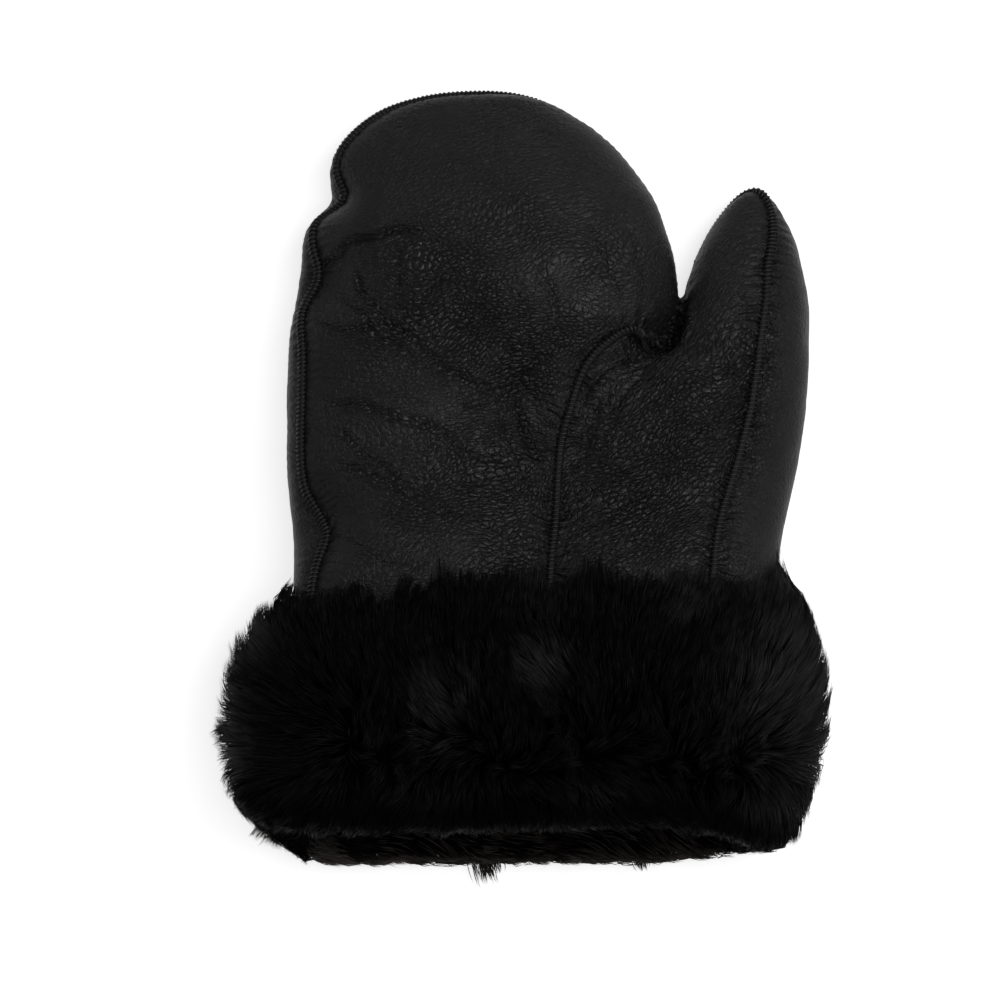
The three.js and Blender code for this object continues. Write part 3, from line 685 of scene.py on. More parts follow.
label = np.where(blocked | (from_mouth < 1), -1, 0)


def spread(label, seeds, value, allowed):
    """Gives value to all faces that can be reached from the seeds over allowed faces."""
    stack = list(seeds)
    while stack:
        f = stack.pop()
        if label[f] == value or not allowed(f):
            continue
        label[f] = value
        stack.extend(neighbours[f])


def face_near(point):
    return int(np.argmin(((middles - point) ** 2).sum(1)))


label = label.tolist()
SEEDS = {"back": (-10, 120, 0), "palm": (-20, 150, 48), "thumb": (55, 130, 46)}
for value, point in enumerate(SEEDS.values(), start=1):
    spread(label, [face_near(np.array(point))], value, lambda f: label[f] == 0)
counts = np.bincount(np.array(label) + 1, minlength=5)
while min(label) < 1:
    new = list(label)
    for f, value in enumerate(label):
        if value < 1:
            around = [label[n] for n in neighbours[f] if label[n] > 0]
            if around:
                new[f] = max(set(around), key=around.count)
    if new == label:
        break
    label = new
label = np.array(label)
print("faces of back, palm and thumb:", np.bincount(label)[1:], "under seams:", counts[0])

# %% [markdown]
# Real thickness
# Each panel gets the thickness of mitten leather towards the hand. Its inner side is never
# seen, so it keeps only as many faces as its curve needs.

# %% Panels with thickness
INNER_SHARE = 0.1
# The leather and its wool end inside the cuff, this far up from the mouth
HIDDEN_EDGE = 14.0
folded_tree = skin_tree(skin)
folded = {name: laid_on(folded_tree, line, 4) for name, (line, _) in laid.items()}
lines = np.vstack([line for line, _ in folded.values()])
skin_points = points_of(skin)
away, along = nearest_on(lines, skin_points)
on_line = lines[np.round(along / STEP).astype(int)]
lowest = np.full(len(skin_points), 9)
highest = np.zeros(len(skin_points), int)
np.minimum.at(lowest, corner_points, label[face_of_corner])
np.maximum.at(highest, corner_points, label[face_of_corner])
edge_point = (lowest != highest) & (away < BARRIER)
skin_points[edge_point] = on_line[edge_point]
panels = {}
for value, side in enumerate(SEEDS, start=1):
    chosen = (label == value) & (from_mouth > HIDDEN_EDGE + CLEARANCE) & (sizes == 4)
    quads = corner_points[starts[chosen][:, None] + np.arange(4)]
    used, index = np.unique(quads, return_inverse=True)
    panel = new_piece(f"{side}_leather", skin_points[used], index.reshape(-1, 4))
    outer = len(used)
    thick = panel.modifiers.new("leather thickness", "SOLIDIFY")
    thick.thickness = LEATHER * MM
    thick.offset = -1
    with_modifiers(panel)
    inside = panel.vertex_groups.new(name="inside")
    inside.add(list(range(outer, len(panel.data.vertices))), 1.0, "REPLACE")
    fewer = panel.modifiers.new("plain inside", "DECIMATE")
    fewer.ratio = (1 + INNER_SHARE) / 2
    fewer.vertex_group = "inside"
    with_modifiers(panel)
    if side == "back":
        thinned_back = panel.modifiers.new("plain back", "DECIMATE")
        thinned_back.ratio = 0.5
        with_modifiers(panel)
    panels[side] = panel
    print(side, "leather:", len(panel.data.polygons), "faces")

discard(skin)

# %% [markdown]
# Overcast seams
# The two leather edges stand up side by side, and a thread is wound round them all along the
# seam, a stitch every 1.5 mm. The edges are one narrow ridge, and each stitch is an arch of
# thread that leans forward by half a stitch, as a wound thread does.

# %% Seams
STITCH = 1.5
EDGES_WIDTH, EDGES_HEIGHT = 2.2, 1.5
THREAD = 0.8
RIDGE_SECTION = np.array([
    (-0.55, -0.8), (-0.55, 0.0), (-0.5, 0.55), (-0.36, 0.86), (-0.14, 0.9), (0.0, 0.62),
    (0.14, 0.9), (0.36, 0.86), (0.5, 0.55), (0.55, 0.0), (0.55, -0.8),
])
STITCH_ARCH = np.array([
    (-0.6, -0.4, 0.0), (-0.68, 0.2, 0.08), (-0.52, 0.8, 0.25), (0.0, 0.96, 0.5),
    (0.52, 0.8, 0.75), (0.68, 0.2, 0.92), (0.6, -0.4, 1.0),
])


def frames_along(line, normals):
    """Directions along, across and up for each point of a line on the skin."""
    along = np.gradient(line, axis=0)
    along /= np.linalg.norm(along, axis=1)[:, None]
    across = np.cross(along, normals)
    across /= np.linalg.norm(across, axis=1)[:, None]
    return along, across, np.cross(across, along)


def threads(paths, radius, sides=5):
    """Closed round threads along paths of the same number of points."""
    count = len(paths)
    along = np.gradient(paths, axis=1)
    along /= np.linalg.norm(along, axis=2)[..., None]
    aside = np.cross(along, [0.13, 0.31, 0.94])
    aside /= np.linalg.norm(aside, axis=2)[..., None]
    over = np.cross(along, aside)
    turns = np.arange(sides) * 2 * math.pi / sides
    rings = paths[:, :, None] + radius * (
        np.cos(turns)[:, None] * aside[:, :, None] + np.sin(turns)[:, None] * over[:, :, None])
    points, quads, triangles = [], [], []
    for i in range(count):
        p, q, t = closed_tube(rings[i])
        quads.append(q + i * len(p))
        triangles.append(t + i * len(p))
        points.append(p)
    return np.vstack(points), np.vstack(quads), np.vstack(triangles)


# Between hand and thumb the seams lie deep in the fold
SUNK, SUNK_OVER = 2.0, 25.0
seams, stitches = {}, {}
for name, (line, normals) in folded.items():
    line = resampled(line, STEP)
    normals = np.array([folded_tree.find_nearest(p)[1] for p in line])
    window = np.ones(13) / 13
    normals = np.stack([np.convolve(np.pad(normals[:, k], 6, mode="edge"), window, "valid")
                        for k in range(3)], 1)
    normals /= np.linalg.norm(normals, axis=1)[:, None]
    keep = line[:, 1] - MOUTH_SLANT * 0.4 > HIDDEN_EDGE
    line, normals = line[keep], normals[keep]
    to_crotch = np.linalg.norm(line - crotch_point(0.5), axis=1)
    line = line - normals * (SUNK * (1 - smoothstep(to_crotch, SUNK_OVER / 2, SUNK_OVER)))[:, None]
    along, across, above = frames_along(line, normals)
    coarse = slice(None, None, 2)
    section = RIDGE_SECTION * [EDGES_WIDTH, EDGES_HEIGHT]
    grid = (line[coarse, None] + section[:, 0, None] * across[coarse, None]
            + section[:, 1, None] * above[coarse, None])
    points, quads, triangles = closed_tube(grid[:, ::-1])
    seams[name] = new_piece(f"{name}_edges", points, quads, triangles)
    places = np.arange(0, (len(line) - 2) * STEP - STITCH, STITCH)
    samples = np.arange(len(line)) * STEP
    places = places[np.interp(places, samples, to_crotch) > SUNK_OVER * 0.75]

    def at_place(values, s):
        return np.stack([np.interp(s, samples, values[:, k]) for k in range(3)], -1)

    s = places[:, None] + STITCH_ARCH[None, :, 2] * STITCH * 0.75
    paths = (at_place(line, s) + at_place(across, s) * STITCH_ARCH[None, :, :1] * EDGES_WIDTH
             + at_place(above, s) * STITCH_ARCH[None, :, 1:2] * EDGES_HEIGHT)
    stitches[name] = new_piece(f"{name}_stitches", *threads(paths, THREAD / 2))
    print(name, len(places), "stitches")

# %% [markdown]
# Wool inside
# The wool is the other side of the same skin. It fills the space between the leather and the
# hand, and its curls stand in soft knots. The knots are noise on the inner face, and near the
# mouth, where it can be seen, locks of wool are added with the fur.

# %% Wool lining
WOOL_START = -CUFF_HEIGHT / 2
KNOT_SIZE, KNOT_HEIGHT, SMALL_KNOTS = 4.0, 1.1, 2.2
# The wool stays this far behind the leather, under its deepest fold
DEEPEST_FOLD = 2.8
inner_face = LEATHER + CLEARANCE + WOOL
room = remeshed(joined_tubes("room", [
    tube_grid(tube, WOOL_START, inner_face, 90, 64) for tube in (HAND, THUMB)]), 2.0)
room_points = points_of(room)
room_normals = read(room.data, "vector", "vertex_normals", 3).astype(float)
knots = noise(room_points, KNOT_SIZE, 31) + 0.5 * noise(room_points, SMALL_KNOTS, 32)
deep = smoothstep(room_points[:, 1], -6, 4)
set_points(room, room_points + room_normals * (KNOT_HEIGHT * knots * deep)[:, None])
lining = remeshed(joined_tubes("wool_lining", [
    tube_grid(tube, HIDDEN_EDGE, LEATHER + DEEPEST_FOLD, 90, 64) for tube in (HAND, THUMB)]), 2.4)
cut_from(lining, room)


def thinned(piece, share):
    """Fewer faces where a surface is plain."""
    step = piece.modifiers.new("fewer faces", "DECIMATE")
    step.ratio = share
    return with_modifiers(piece)


thinned(lining, 0.25)
print("wool lining:", len(lining.data.polygons), "faces")

# %% [markdown]
# The fur cuff
# The turned-back skin carries long dense fur. Under the locks lies a rounded pelt, which only
# has to close the gaps; its near-black colour is painted shade. Each lock is a closed, tapered
# sliver with a bend in it.
# Locks lean as the fur was combed and gather in pointed tufts.

# %% Pelt under the fur
UNDERFUR = 0.5


def cuff_face(v, turn, depth):
    """Points round the cuff at v up it, where depth is the share of the fur's depth."""
    v, turn = np.broadcast_arrays(np.asarray(v, float), np.asarray(turn, float))
    y = v * CUFF_HEIGHT
    left_d, right_d, front_d = (
        np.interp(v, CUFF_SECTIONS[:, 0], CUFF_SECTIONS[:, k]) * PILE_DEPTH * depth
        for k in (1, 2, 3))
    middle, half, thick, _ = hand_section(np.maximum(y, 0) / HAND_LENGTH)
    thumb_middle, thumb_half, _, _ = thumb_section(np.maximum(y, 0) / THUMB_LENGTH)
    left = middle - half - left_d
    right = thumb_middle + thumb_half + right_d
    top = 2 * thick - SETTLE + CUFF_LIFT + front_d
    x = (left + right) / 2 + (right - left) / 2 * power(np.cos(turn), CUFF_ROUNDNESS)
    z = np.maximum(top / 2 * (1 + power(np.sin(turn), CUFF_ROUNDNESS)) - SETTLE, 0)
    return settled(np.stack([x, y, z + (1 - depth) * 2.0], -1))


# The trimmed outline seen from the front: (y, x) up the left and the right edge, in mm
LEFT_EDGE = np.array([
    (-5, -62), (-3, -66), (2, -75), (7, -80), (17, -87.5), (28, -90.5), (38, -92.5), (48, -91),
    (64, -88), (74, -87), (77, -84), (80, -81), (85, -78), (88, -73), (92, -66), (100, -64),
])
RIGHT_EDGE = np.array([
    (-5, 88), (1, 106), (7, 108.5), (17, 110.5), (22, 113), (33, 115), (43, 117.5), (54, 118.5),
    (69, 117), (74, 114.5), (80, 111.5), (85, 110), (90, 106.5), (95, 101), (100, 99),
])
# The lowest edge of the back lip and of the front lip: (x, y) across the mouth, in mm
BACK_LIP = np.array([(-95, 20), (-60, -4), (-20, -4.6), (20, -3.6), (60, -4), (75, -1.5),
                     (87, 0.5), (107, 2.0), (115, 6)])
FRONT_LIP = np.array([(-95, 24), (-75, 12), (-40, 10.5), (0, 11.5), (60, 13), (78, 10.5),
                      (92, 4.5), (107, 2.0), (115, 6)])
# The front lip's outline holds above these heights, the back lip's below them
FRONT_FROM, FRONT_TO = 20, 36
LIP_GIVE = 0.3
RAGGED = 1.5
FLOOR_GAP = 0.25


def trimmed(points, inside, give):
    """Moves what stands out of the cuff's outline back by all but a share of the way."""
    p = points.copy()
    rough = RAGGED * (noise(p, 3.0, 45) + noise(p, 1.2, 46)) if inside == 0 else 0
    low = np.interp(p[:, 1], *LEFT_EDGE.T) + inside + rough
    high = np.interp(p[:, 1], *RIGHT_EDGE.T) - inside + rough
    p[:, 0] = np.where(p[:, 0] < low, low + (p[:, 0] - low) * give, p[:, 0])
    p[:, 0] = np.where(p[:, 0] > high, high + (p[:, 0] - high) * give, p[:, 0])
    front = smoothstep(p[:, 2], FRONT_FROM, FRONT_TO)
    lip = (np.interp(p[:, 0], *BACK_LIP.T) * (1 - front) + np.interp(p[:, 0], *FRONT_LIP.T) * front
           + inside * 0.5 + rough)
    over = np.maximum(lip - p[:, 1], 0)
    kept = 1 - give - (LIP_GIVE * front if inside == 0 else 0)
    p[:, 1] += over * kept
    p[:, 2] = np.maximum(p[:, 2] - over * front * kept * (inside == 0), FLOOR_GAP)
    return p


CUFF_ROWS, CUFF_COLUMNS = 56, 180
LEFT_DROOP = 5.0
PELT_MARGIN = 3.5
PELT_WAVE, PELT_WAVE_SIZE = 0.9, 6.0
rows = np.linspace(-0.02, 1.0, CUFF_ROWS)
turns = np.arange(CUFF_COLUMNS) * 2 * math.pi / CUFF_COLUMNS
pelt_grid = cuff_face(rows[:, None], turns[None, :], UNDERFUR)
pelt_grid[..., 1] -= LEFT_DROOP * rows[:, None] * smoothstep(-pelt_grid[..., 0], -10, 70)
pelt_grid = trimmed(pelt_grid.reshape(-1, 3), PELT_MARGIN, 0.1).reshape(pelt_grid.shape)
points, quads, triangles = closed_tube(pelt_grid)
points = points + PELT_WAVE * noise(points, PELT_WAVE_SIZE, 41)[:, None] * [0, 0.3, 0.6]
pelt = new_piece("fur_pelt", points, quads, triangles)
over_seams = -(SEAM_DIAMETER / 2 + CLEARANCE)
wrist = remeshed(joined_tubes("wrist", [
    tube_grid(tube, HIDDEN_EDGE, over_seams, 60, 64) for tube in (HAND, THUMB)]), 2.5)
cut_from(pelt, wrist)
cut_from(pelt, room)
discard(wrist)
discard(room)
thinned(pelt, 0.4)
print("pelt:", len(pelt.data.polygons), "faces")

# %% [markdown]
# How the fur is combed
# Fur lies as it was last stroked. A few guides, each a place and the way that the hair leans
# there, are blended into a smooth flow over the whole cuff. Where a guide is short the hair
# stands up. Two whorls, at the left and at the right, come out of the guides by themselves.

# %% Comb guides
# Each guide: x, y in mm and the lean of the hair across and up
GUIDES = np.array([
    (-64, 86, -0.2, 1.0), (-46, 86, 0.0, 1.0), (-29, 88, 0.1, 1.1), (-12, 90, -0.1, 1.1),
    (5, 90, 0.1, 1.2), (22, 90, 0.15, 1.2), (40, 90, 0.1, 1.2), (57, 90, 0.2, 1.2),
    (74, 90, 0.2, 1.2), (91, 88, 0.35, 1.1), (105, 80, 0.5, 0.9), (-81, 73, -0.7, 0.7),
    (-64, 69, -0.4, 0.8), (-29, 66, -0.1, 0.8), (-19, 52, -0.4, 0.8), (5, 55, 0.0, 0.7),
    (22, 59, -0.6, 0.7), (40, 66, 0.1, 0.8), (62, 78, 0.4, 0.9), (74, 66, 0.1, 0.8),
    (91, 59, 0.2, 0.9), (108, 59, 0.6, 0.8), (-88, 45, -1.0, 0.1), (-71, 52, -0.9, 0.4),
    (-71, 38, -1.0, -0.1), (-50, 41, -0.1, 0.05), (-29, 38, 0.2, 0.2), (-12, 31, -0.2, -0.4),
    (5, 38, 0.0, 0.3), (26, 38, 0.1, 0.3), (47, 41, 0.1, 0.4), (74, 38, 0.0, 0.5),
    (87, 29, 0.0, 0.0), (102, 45, 0.7, 0.7), (114, 38, 0.9, 0.2), (-81, 21, -0.7, -0.7),
    (-53, 17, -0.4, -0.9), (-29, 17, -0.45, -0.9), (-12, 21, -0.35, -0.9), (5, 17, 0.1, -0.9),
    (26, 17, 0.25, -0.9), (47, 21, 0.6, -0.6), (60, 17, 0.5, -0.8), (81, 17, -0.25, -0.9),
    (91, 17, 0.1, -1.0), (102, 17, 0.3, -0.9), (110, 24, 0.8, -0.3), (0, 2, 0.0, -1.0),
    (60, 2, 0.0, -1.0), (-50, 2, -0.3, -1.0), (100, 4, 0.2, -0.9), (-75, 8, -0.6, -0.7),
])
GUIDE_REACH = 12.0


def combed(points, normals):
    """The lean of the hair at each place, from the guides and a little disorder."""
    away = ((points[:, None, :2] - GUIDES[None, :, :2]) ** 2).sum(-1)
    weight = np.exp(-away / GUIDE_REACH**2) + 1e-9 / (1 + away)
    lean = np.zeros_like(points)
    lean[:, :2] = weight @ GUIDES[:, 2:] / weight.sum(1)[:, None]
    for size, amount, seed in ((14.0, 0.22, 51), (5.0, 0.26, 54), (2.2, 0.16, 57)):
        lean += amount * np.stack([noise(points, size, seed + k) for k in range(3)], 1)
    return lean - (lean * normals).sum(1)[:, None] * normals * 0.85


print(len(GUIDES), "comb guides")

# %% [markdown]
# Locks of fur
# Sheepskin fur stands a good 15 mm deep, and its hairs cling together in pointed tufts. A hair
# system would draw them, but an export holds meshes alone. So each hair is a closed sliver of
# twelve triangles with a bend in it. A real hair is about 0.03 mm thick, too thin to show, so
# each sliver stands for a small bundle and is drawn more than ten times as thick.

# %% Locks of fur
rng = np.random.default_rng(11)
FUR_HAIRS = 49000
FUR_PARTS = 4
# The fur is longer at the sides of the cuff
SIDE_GAIN = 0.35
HAIRS_PER_TUFT = 13
HAIR_WIDTH = 0.38
LENGTH_ROWS = [-0.02, 0.1, 0.3, 0.6, 0.85, 1.0]
HAIR_LENGTH = [8.0, 12.5, 15.5, 15.5, 12.5, 10.0]
# Fewer hairs where the cuff lies on the table
BACK_SHARE = 0.35


def scattered(points, quads, values, count, weigh=None):
    """Random places on a grid, with its values and normals there."""
    corners = points[quads]
    normal = np.cross(corners[:, 2] - corners[:, 0], corners[:, 3] - corners[:, 1])
    area = np.linalg.norm(normal, axis=1)
    normal /= np.maximum(area, 1e-9)[:, None]
    if weigh:
        area = area * weigh(normal)
    face = rng.choice(len(quads), count, p=area / area.sum())
    a, b = rng.random((2, count, 1))
    weights = [(1 - a) * (1 - b), a * (1 - b), a * b, (1 - a) * b]
    out = [sum(w * array[quads[face, k]] for k, w in enumerate(weights))
           for array in (points, values)]
    return out[0], out[1], normal[face]


def tufted(roots, per_tuft):
    """Gathers roots round random ones: the owner's index and the way from it to each root."""
    owners = rng.choice(len(roots), max(len(roots) // per_tuft, 1), replace=False)
    kd = KDTree(len(owners))
    for i, k in enumerate(owners):
        kd.insert(roots[k], i)
    kd.balance()
    owner = owners[[kd.find(p)[1] for p in roots]]
    return owner, roots - roots[owner]


# The twelve triangles of a sliver: root, two rings of three points, tip
SPINDLE = np.array(
    [(0, 1 + (k + 1) % 3, 1 + k) for k in range(3)]
    + [t for k in range(3) for n in [(k + 1) % 3]
       for t in ((1 + k, 1 + n, 4 + k), (1 + n, 4 + n, 4 + k))]
    + [(4 + k, 4 + (k + 1) % 3, 7) for k in range(3)])


# Three bends of a hair: share of its rise, share of its lean, share of its length
BENDS = ((1.0, 0.35, 0.3), (0.55, 1.0, 0.37), (0.15, 1.25, 0.33))


def hair_points(roots, normals, lean, length, rise, tuft):
    """Four places along each hair, bent over as combed and drawn together in tufts."""
    rise = rise[:, None]
    places = [roots]
    for up_share, lean_share, length_share in BENDS:
        way = normals * rise * up_share + lean * lean_share
        way /= np.linalg.norm(way, axis=1)[:, None]
        places.append(places[-1] + way * (length * length_share)[:, None])
    _, first, second, tip = places
    owner, offset = tuft
    second += 0.3 * (second[owner] + offset * 0.8 - second)
    tip += 0.45 * (tip[owner] + offset * 0.4 - tip)
    return np.stack([roots - normals * 1.2, first, second, tip], 1)


def hairs(name, centres, width, tip_tone_and_painted_light):
    """Closed, tapered slivers, each of two rings of three points and two ends."""
    count = len(centres)
    along = np.gradient(centres, axis=1)[:, 1:3]
    along /= np.linalg.norm(along, axis=2)[..., None] + 1e-9
    aside = np.cross(along, rng.normal(size=(count, 1, 3)))
    aside /= np.linalg.norm(aside, axis=2)[..., None] + 1e-9
    over = np.cross(along, aside)
    turns = np.arange(3) * 2 * math.pi / 3
    half = width[:, None, None, None] / 2 * np.array([1.0, 0.7])[None, :, None, None]
    rings = centres[:, 1:3, None] + half * (
        np.cos(turns)[:, None] * aside[:, :, None] + np.sin(turns)[:, None] * over[:, :, None])
    points = np.concatenate([centres[:, :1], rings.reshape(count, 6, 3), centres[:, 3:]], 1)
    faces = (SPINDLE[None] + np.arange(count)[:, None, None] * 8).reshape(-1, 3)
    piece = new_piece(name, points.reshape(-1, 3), faces)
    for label, values in (("along_hair", np.tile([0, .35, .35, .35, .7, .7, .7, 1.0], count)),
                          ("tip_tone_and_painted_light", np.repeat(tip_tone_and_painted_light, 8))):
        piece.data.attributes.new(label, "FLOAT", "POINT").data.foreach_set(
            "value", values.astype(np.float32))
    return piece


# Where a lighter tip colour is painted on the fur as sheen: x, y, radius in mm, strength
PAINTED_SHEEN_PATCHES = [
    (23, 59, 9, 0.9), (-12, 49, 13, 0.6), (98, 55, 24, 0.85), (100, 88, 16, 0.8), (64, 78, 6, 0.7),
    (-70, 66, 8, 0.7), (-76, 49, 9, 0.7), (-74, 36, 9, 0.7), (-45, 17, 9, 0.6), (-14, 19, 12, 0.5),
    (34, 20, 10, 0.6), (58, 17, 9, 0.5), (94, 17, 14, 0.6), (20, 88, 22, 0.3), (70, 88, 16, 0.5),
]


def painted_sheen_and_tone_of(points):
    """How light the tips are: dark on the whole, lighter in the patches as painted sheen, varied at
    random.
    """
    tip_tone_and_painted_light = np.full(len(points), 0.14)
    for x, y, radius, strength in PAINTED_SHEEN_PATCHES:
        away = np.hypot(points[:, 0] - x, points[:, 1] - y) / radius
        tip_tone_and_painted_light = np.maximum(tip_tone_and_painted_light, strength * np.exp(-away**2))
    tip_tone_and_painted_light = tip_tone_and_painted_light * (1 + 0.5 * noise(points, 4.0, 61)) + rng.normal(0, 0.05, len(points))
    return np.clip(tip_tone_and_painted_light, 0, 1)


grid_points = pelt_grid.reshape(-1, 3)
roots, values, normals = scattered(
    grid_points, grid_faces(CUFF_ROWS, CUFF_COLUMNS), np.repeat(rows, CUFF_COLUMNS)[:, None],
    FUR_HAIRS, lambda n: BACK_SHARE + (1 - BACK_SHARE) * smoothstep(n[:, 2], -0.5, 0.1))
v = values[:, 0]
tuft = tufted(roots, HAIRS_PER_TUFT)
lean = combed(roots, normals)
lean = 0.55 * lean + 0.45 * lean[tuft[0]]
length = np.interp(v, LENGTH_ROWS, HAIR_LENGTH) * rng.uniform(0.75, 1.15, FUR_HAIRS)
length *= rng.uniform(0.85, 1.15, FUR_HAIRS)[tuft[0]]
length *= 1 - 0.4 * smoothstep(-normals[:, 2], 0.3, 0.7)
length *= 1 + SIDE_GAIN * smoothstep(np.abs(roots[:, 0] - 15), 62, 88) * smoothstep(v, 0.1, 0.3)
# At the upper edge the fur ends in uneven tufts
length *= 1 + smoothstep(v, 0.8, 0.97) * (0.75 * noise(roots[tuft[0]], 7.0, 58) - 0.05)
length *= 1 - 0.4 * smoothstep(v, 0.8, 0.97) * smoothstep(-roots[:, 0], 15, 50)
centres = hair_points(roots, normals, lean, length, np.full(FUR_HAIRS, 0.62), tuft)
centres = trimmed(centres.reshape(-1, 3), 0, 0.25).reshape(centres.shape)
width = HAIR_WIDTH * rng.uniform(0.75, 1.2, FUR_HAIRS)
# Hairs rooted where the pelt faces down or sideways get darker tips: painted shade
tip_tone_and_painted_light = painted_sheen_and_tone_of(roots) * smoothstep(normals[:, 2], -0.3, 0.3)
tips = centres[:, 3]
# Tips that reach the front lip's edge are painted darker: painted shade over the light they catch
# there
tip_tone_and_painted_light *= 0.1 + 0.9 * smoothstep(tips[:, 1] - np.interp(tips[:, 0], *FRONT_LIP.T), 0, 7)
fur = []
for part in range(FUR_PARTS):
    chosen = slice(part * FUR_HAIRS // FUR_PARTS, (part + 1) * FUR_HAIRS // FUR_PARTS)
    fur.append(hairs(f"fur_{part + 1}", centres[chosen], width[chosen], tip_tone_and_painted_light[chosen]))
print(FUR_HAIRS, "hairs in", FUR_PARTS, "pieces")

# %% [markdown]
# The lip of the mouth
# At the mouth the skin is turned over, and the fur on that edge lies along it, rubbed flat and
# a little brown. Its roots are scattered in the gap between the pelt and the hollow, because
# the edge itself is never seen bare. A few loose tufts hang out, as on any worn fur.

# %% Fur on the lip of the mouth
LIP_HAIRS = 6500
low, high = pelt_grid[0].min(0), pelt_grid[0].max(0)
spots = rng.uniform(low, high, (LIP_HAIRS * 4, 3))
half = (high - low) / 2
from_middle = np.abs((spots - (low + high) / 2)[:, [0, 2]] / half[[0, 2]])
in_cuff = (from_middle**CUFF_ROUNDNESS).sum(1) < 1
in_room = np.zeros(len(spots), bool)
for section, _ in (HAND, THUMB):
    middle, half_width, half_thick, _ = section(0.0)
    across = np.abs((spots[:, 0] - middle) / taken_in(half_width, inner_face))
    height = np.abs(spots[:, 2] - CUFF_LIFT - half_thick + SETTLE)
    height /= taken_in(half_thick, inner_face)
    in_room |= across**ROUNDNESS + height**ROUNDNESS < 1
spots = spots[in_cuff & ~in_room][:LIP_HAIRS]
count = len(spots)
front = smoothstep(spots[:, 2], FRONT_FROM, FRONT_TO)
spots[:, 1] = (np.interp(spots[:, 0], *BACK_LIP.T) * (1 - front)
               + np.interp(spots[:, 0], *FRONT_LIP.T) * front + rng.uniform(1.0, 3.5, count))
down = np.tile([0.0, -1.0, 0.0], (count, 1))
lean = np.stack([0.9 + 0.5 * noise(spots, 12.0, 64), -0.1 + 0.4 * noise(spots, 5.0, 65),
                 0.3 * noise(spots, 6.0, 66) - front], 1)
tuft = tufted(spots, HAIRS_PER_TUFT)
centres = hair_points(spots, down, lean, rng.uniform(8, 13, count), np.full(count, 0.28), tuft)
centres = trimmed(centres.reshape(-1, 3), 0, 0.3).reshape(centres.shape)
# On the back lip the tips are lighter, partly the hair's brown and partly painted light; on the
# front lip they are near black, painted shade
fur.append(hairs("fur_lip", centres, HAIR_WIDTH * rng.uniform(0.75, 1.2, count),
                 np.clip(0.75 + 0.4 * noise(spots, 8.0, 67), 0, 1) * (1 - front)))
print(count, "hairs on the lip")

# A few tufts hang out of the outline: x, y, z, reach in mm
STRAY_TUFTS = [
    (-2, -3.0, 5, 11.5), (2, -3.0, 5, 6.5), (-53, -1.5, 6, 5.5), (54, -3.0, 5, 5.0),
    (-75, 9.0, 24, 6.5), (-71, 6.5, 22, 6.5), (-67, 4.5, 20, 6.5), (-63, 3.0, 16, 6.5),
    (-59, 1.0, 12, 6.0), (76, 1.5, 12, 3.0),
]
PER_STRAY = 60
spots = np.repeat([place[:3] for place in STRAY_TUFTS], PER_STRAY, axis=0).astype(float)
reach = np.repeat([place[3] for place in STRAY_TUFTS], PER_STRAY)
count = len(spots)
spots += rng.normal(0, 1, (count, 3)) * [2.0, 0.8, 1.5]
lean = np.tile([0.35, -1.0, 0.0], (count, 1)) + rng.normal(0, 0.22, (count, 3))
lean[spots[:, 0] < -70, 0] -= 1.1
centres = hair_points(spots, np.tile([0.0, -1.0, 0.0], (count, 1)), lean,
                      reach * rng.uniform(0.5, 1.1, count), np.full(count, 0.3),
                      tufted(spots, HAIRS_PER_TUFT))
centres[..., 2] = np.maximum(centres[..., 2], FLOOR_GAP)
# The tufts' tips take a fixed share of the lip's lighter tip colour, which is partly painted light
fur.append(hairs("fur_stray_tufts", centres, np.full(count, HAIR_WIDTH), np.full(count, 0.4)))
print(count, "hairs in stray tufts")

# %% [markdown]
# Wool at the mouth
# Inside the mouth the wool is shorter than the fur and lies as the hand has brushed it. Only
# the first few centimetres can be seen, so only these get hairs, on the walls of the hollow.

# %% Wool at the mouth
MOUTH_HAIRS = 4200
WOOL_FROM, WOOL_TO = -4, 50
WOOL_ROWS, WOOL_COLUMNS = 28, 90
v = np.linspace(WOOL_FROM, WOOL_TO, WOOL_ROWS)
turns = np.arange(WOOL_COLUMNS) * 2 * math.pi / WOOL_COLUMNS
wool_roots, wool_normals = [], []
for tube, other in ((HAND, THUMB), (THUMB, HAND)):
    face = on_tube(tube, v[:, None] / tube[1], turns[None, :], inner_face - 0.5)
    places, _, normals = scattered(face.reshape(-1, 3), grid_faces(WOOL_ROWS, WOOL_COLUMNS),
                                   np.repeat(v, WOOL_COLUMNS)[:, None], MOUTH_HAIRS // 2)
    out = ((places - face.mean((0, 1))) * normals)[:, [0, 2]].sum(1) > 0
    normals[out] *= -1
    middle, half_width, half_thick, _ = other[0](np.maximum(places[:, 1], 0) / other[1])
    across = np.abs((places[:, 0] - middle) / (half_width - inner_face))
    height = np.abs((places[:, 2] - CUFF_LIFT - half_thick + SETTLE) / (half_thick - inner_face))
    free = across**ROUNDNESS + height**ROUNDNESS > 1
    free &= (places[:, 2] < FRONT_FROM + 6) | (places[:, 1] > MOUTH_SLANT + 6)
    wool_roots.append(places[free])
    wool_normals.append(normals[free])
wool_roots, wool_normals = np.vstack(wool_roots), np.vstack(wool_normals)
count = len(wool_roots)
lean = np.stack([0.9 + 0.6 * noise(wool_roots, 12.0, 71), -0.35 + 0.5 * noise(wool_roots, 9.0, 73),
                 0.2 * noise(wool_roots, 7.0, 74)], 1)
tuft = tufted(wool_roots, HAIRS_PER_TUFT)
centres = hair_points(wool_roots, wool_normals, lean, rng.uniform(7, 11, count),
                      np.full(count, 0.5), tuft)
centres = trimmed(centres.reshape(-1, 3), 0, 0.3).reshape(centres.shape)
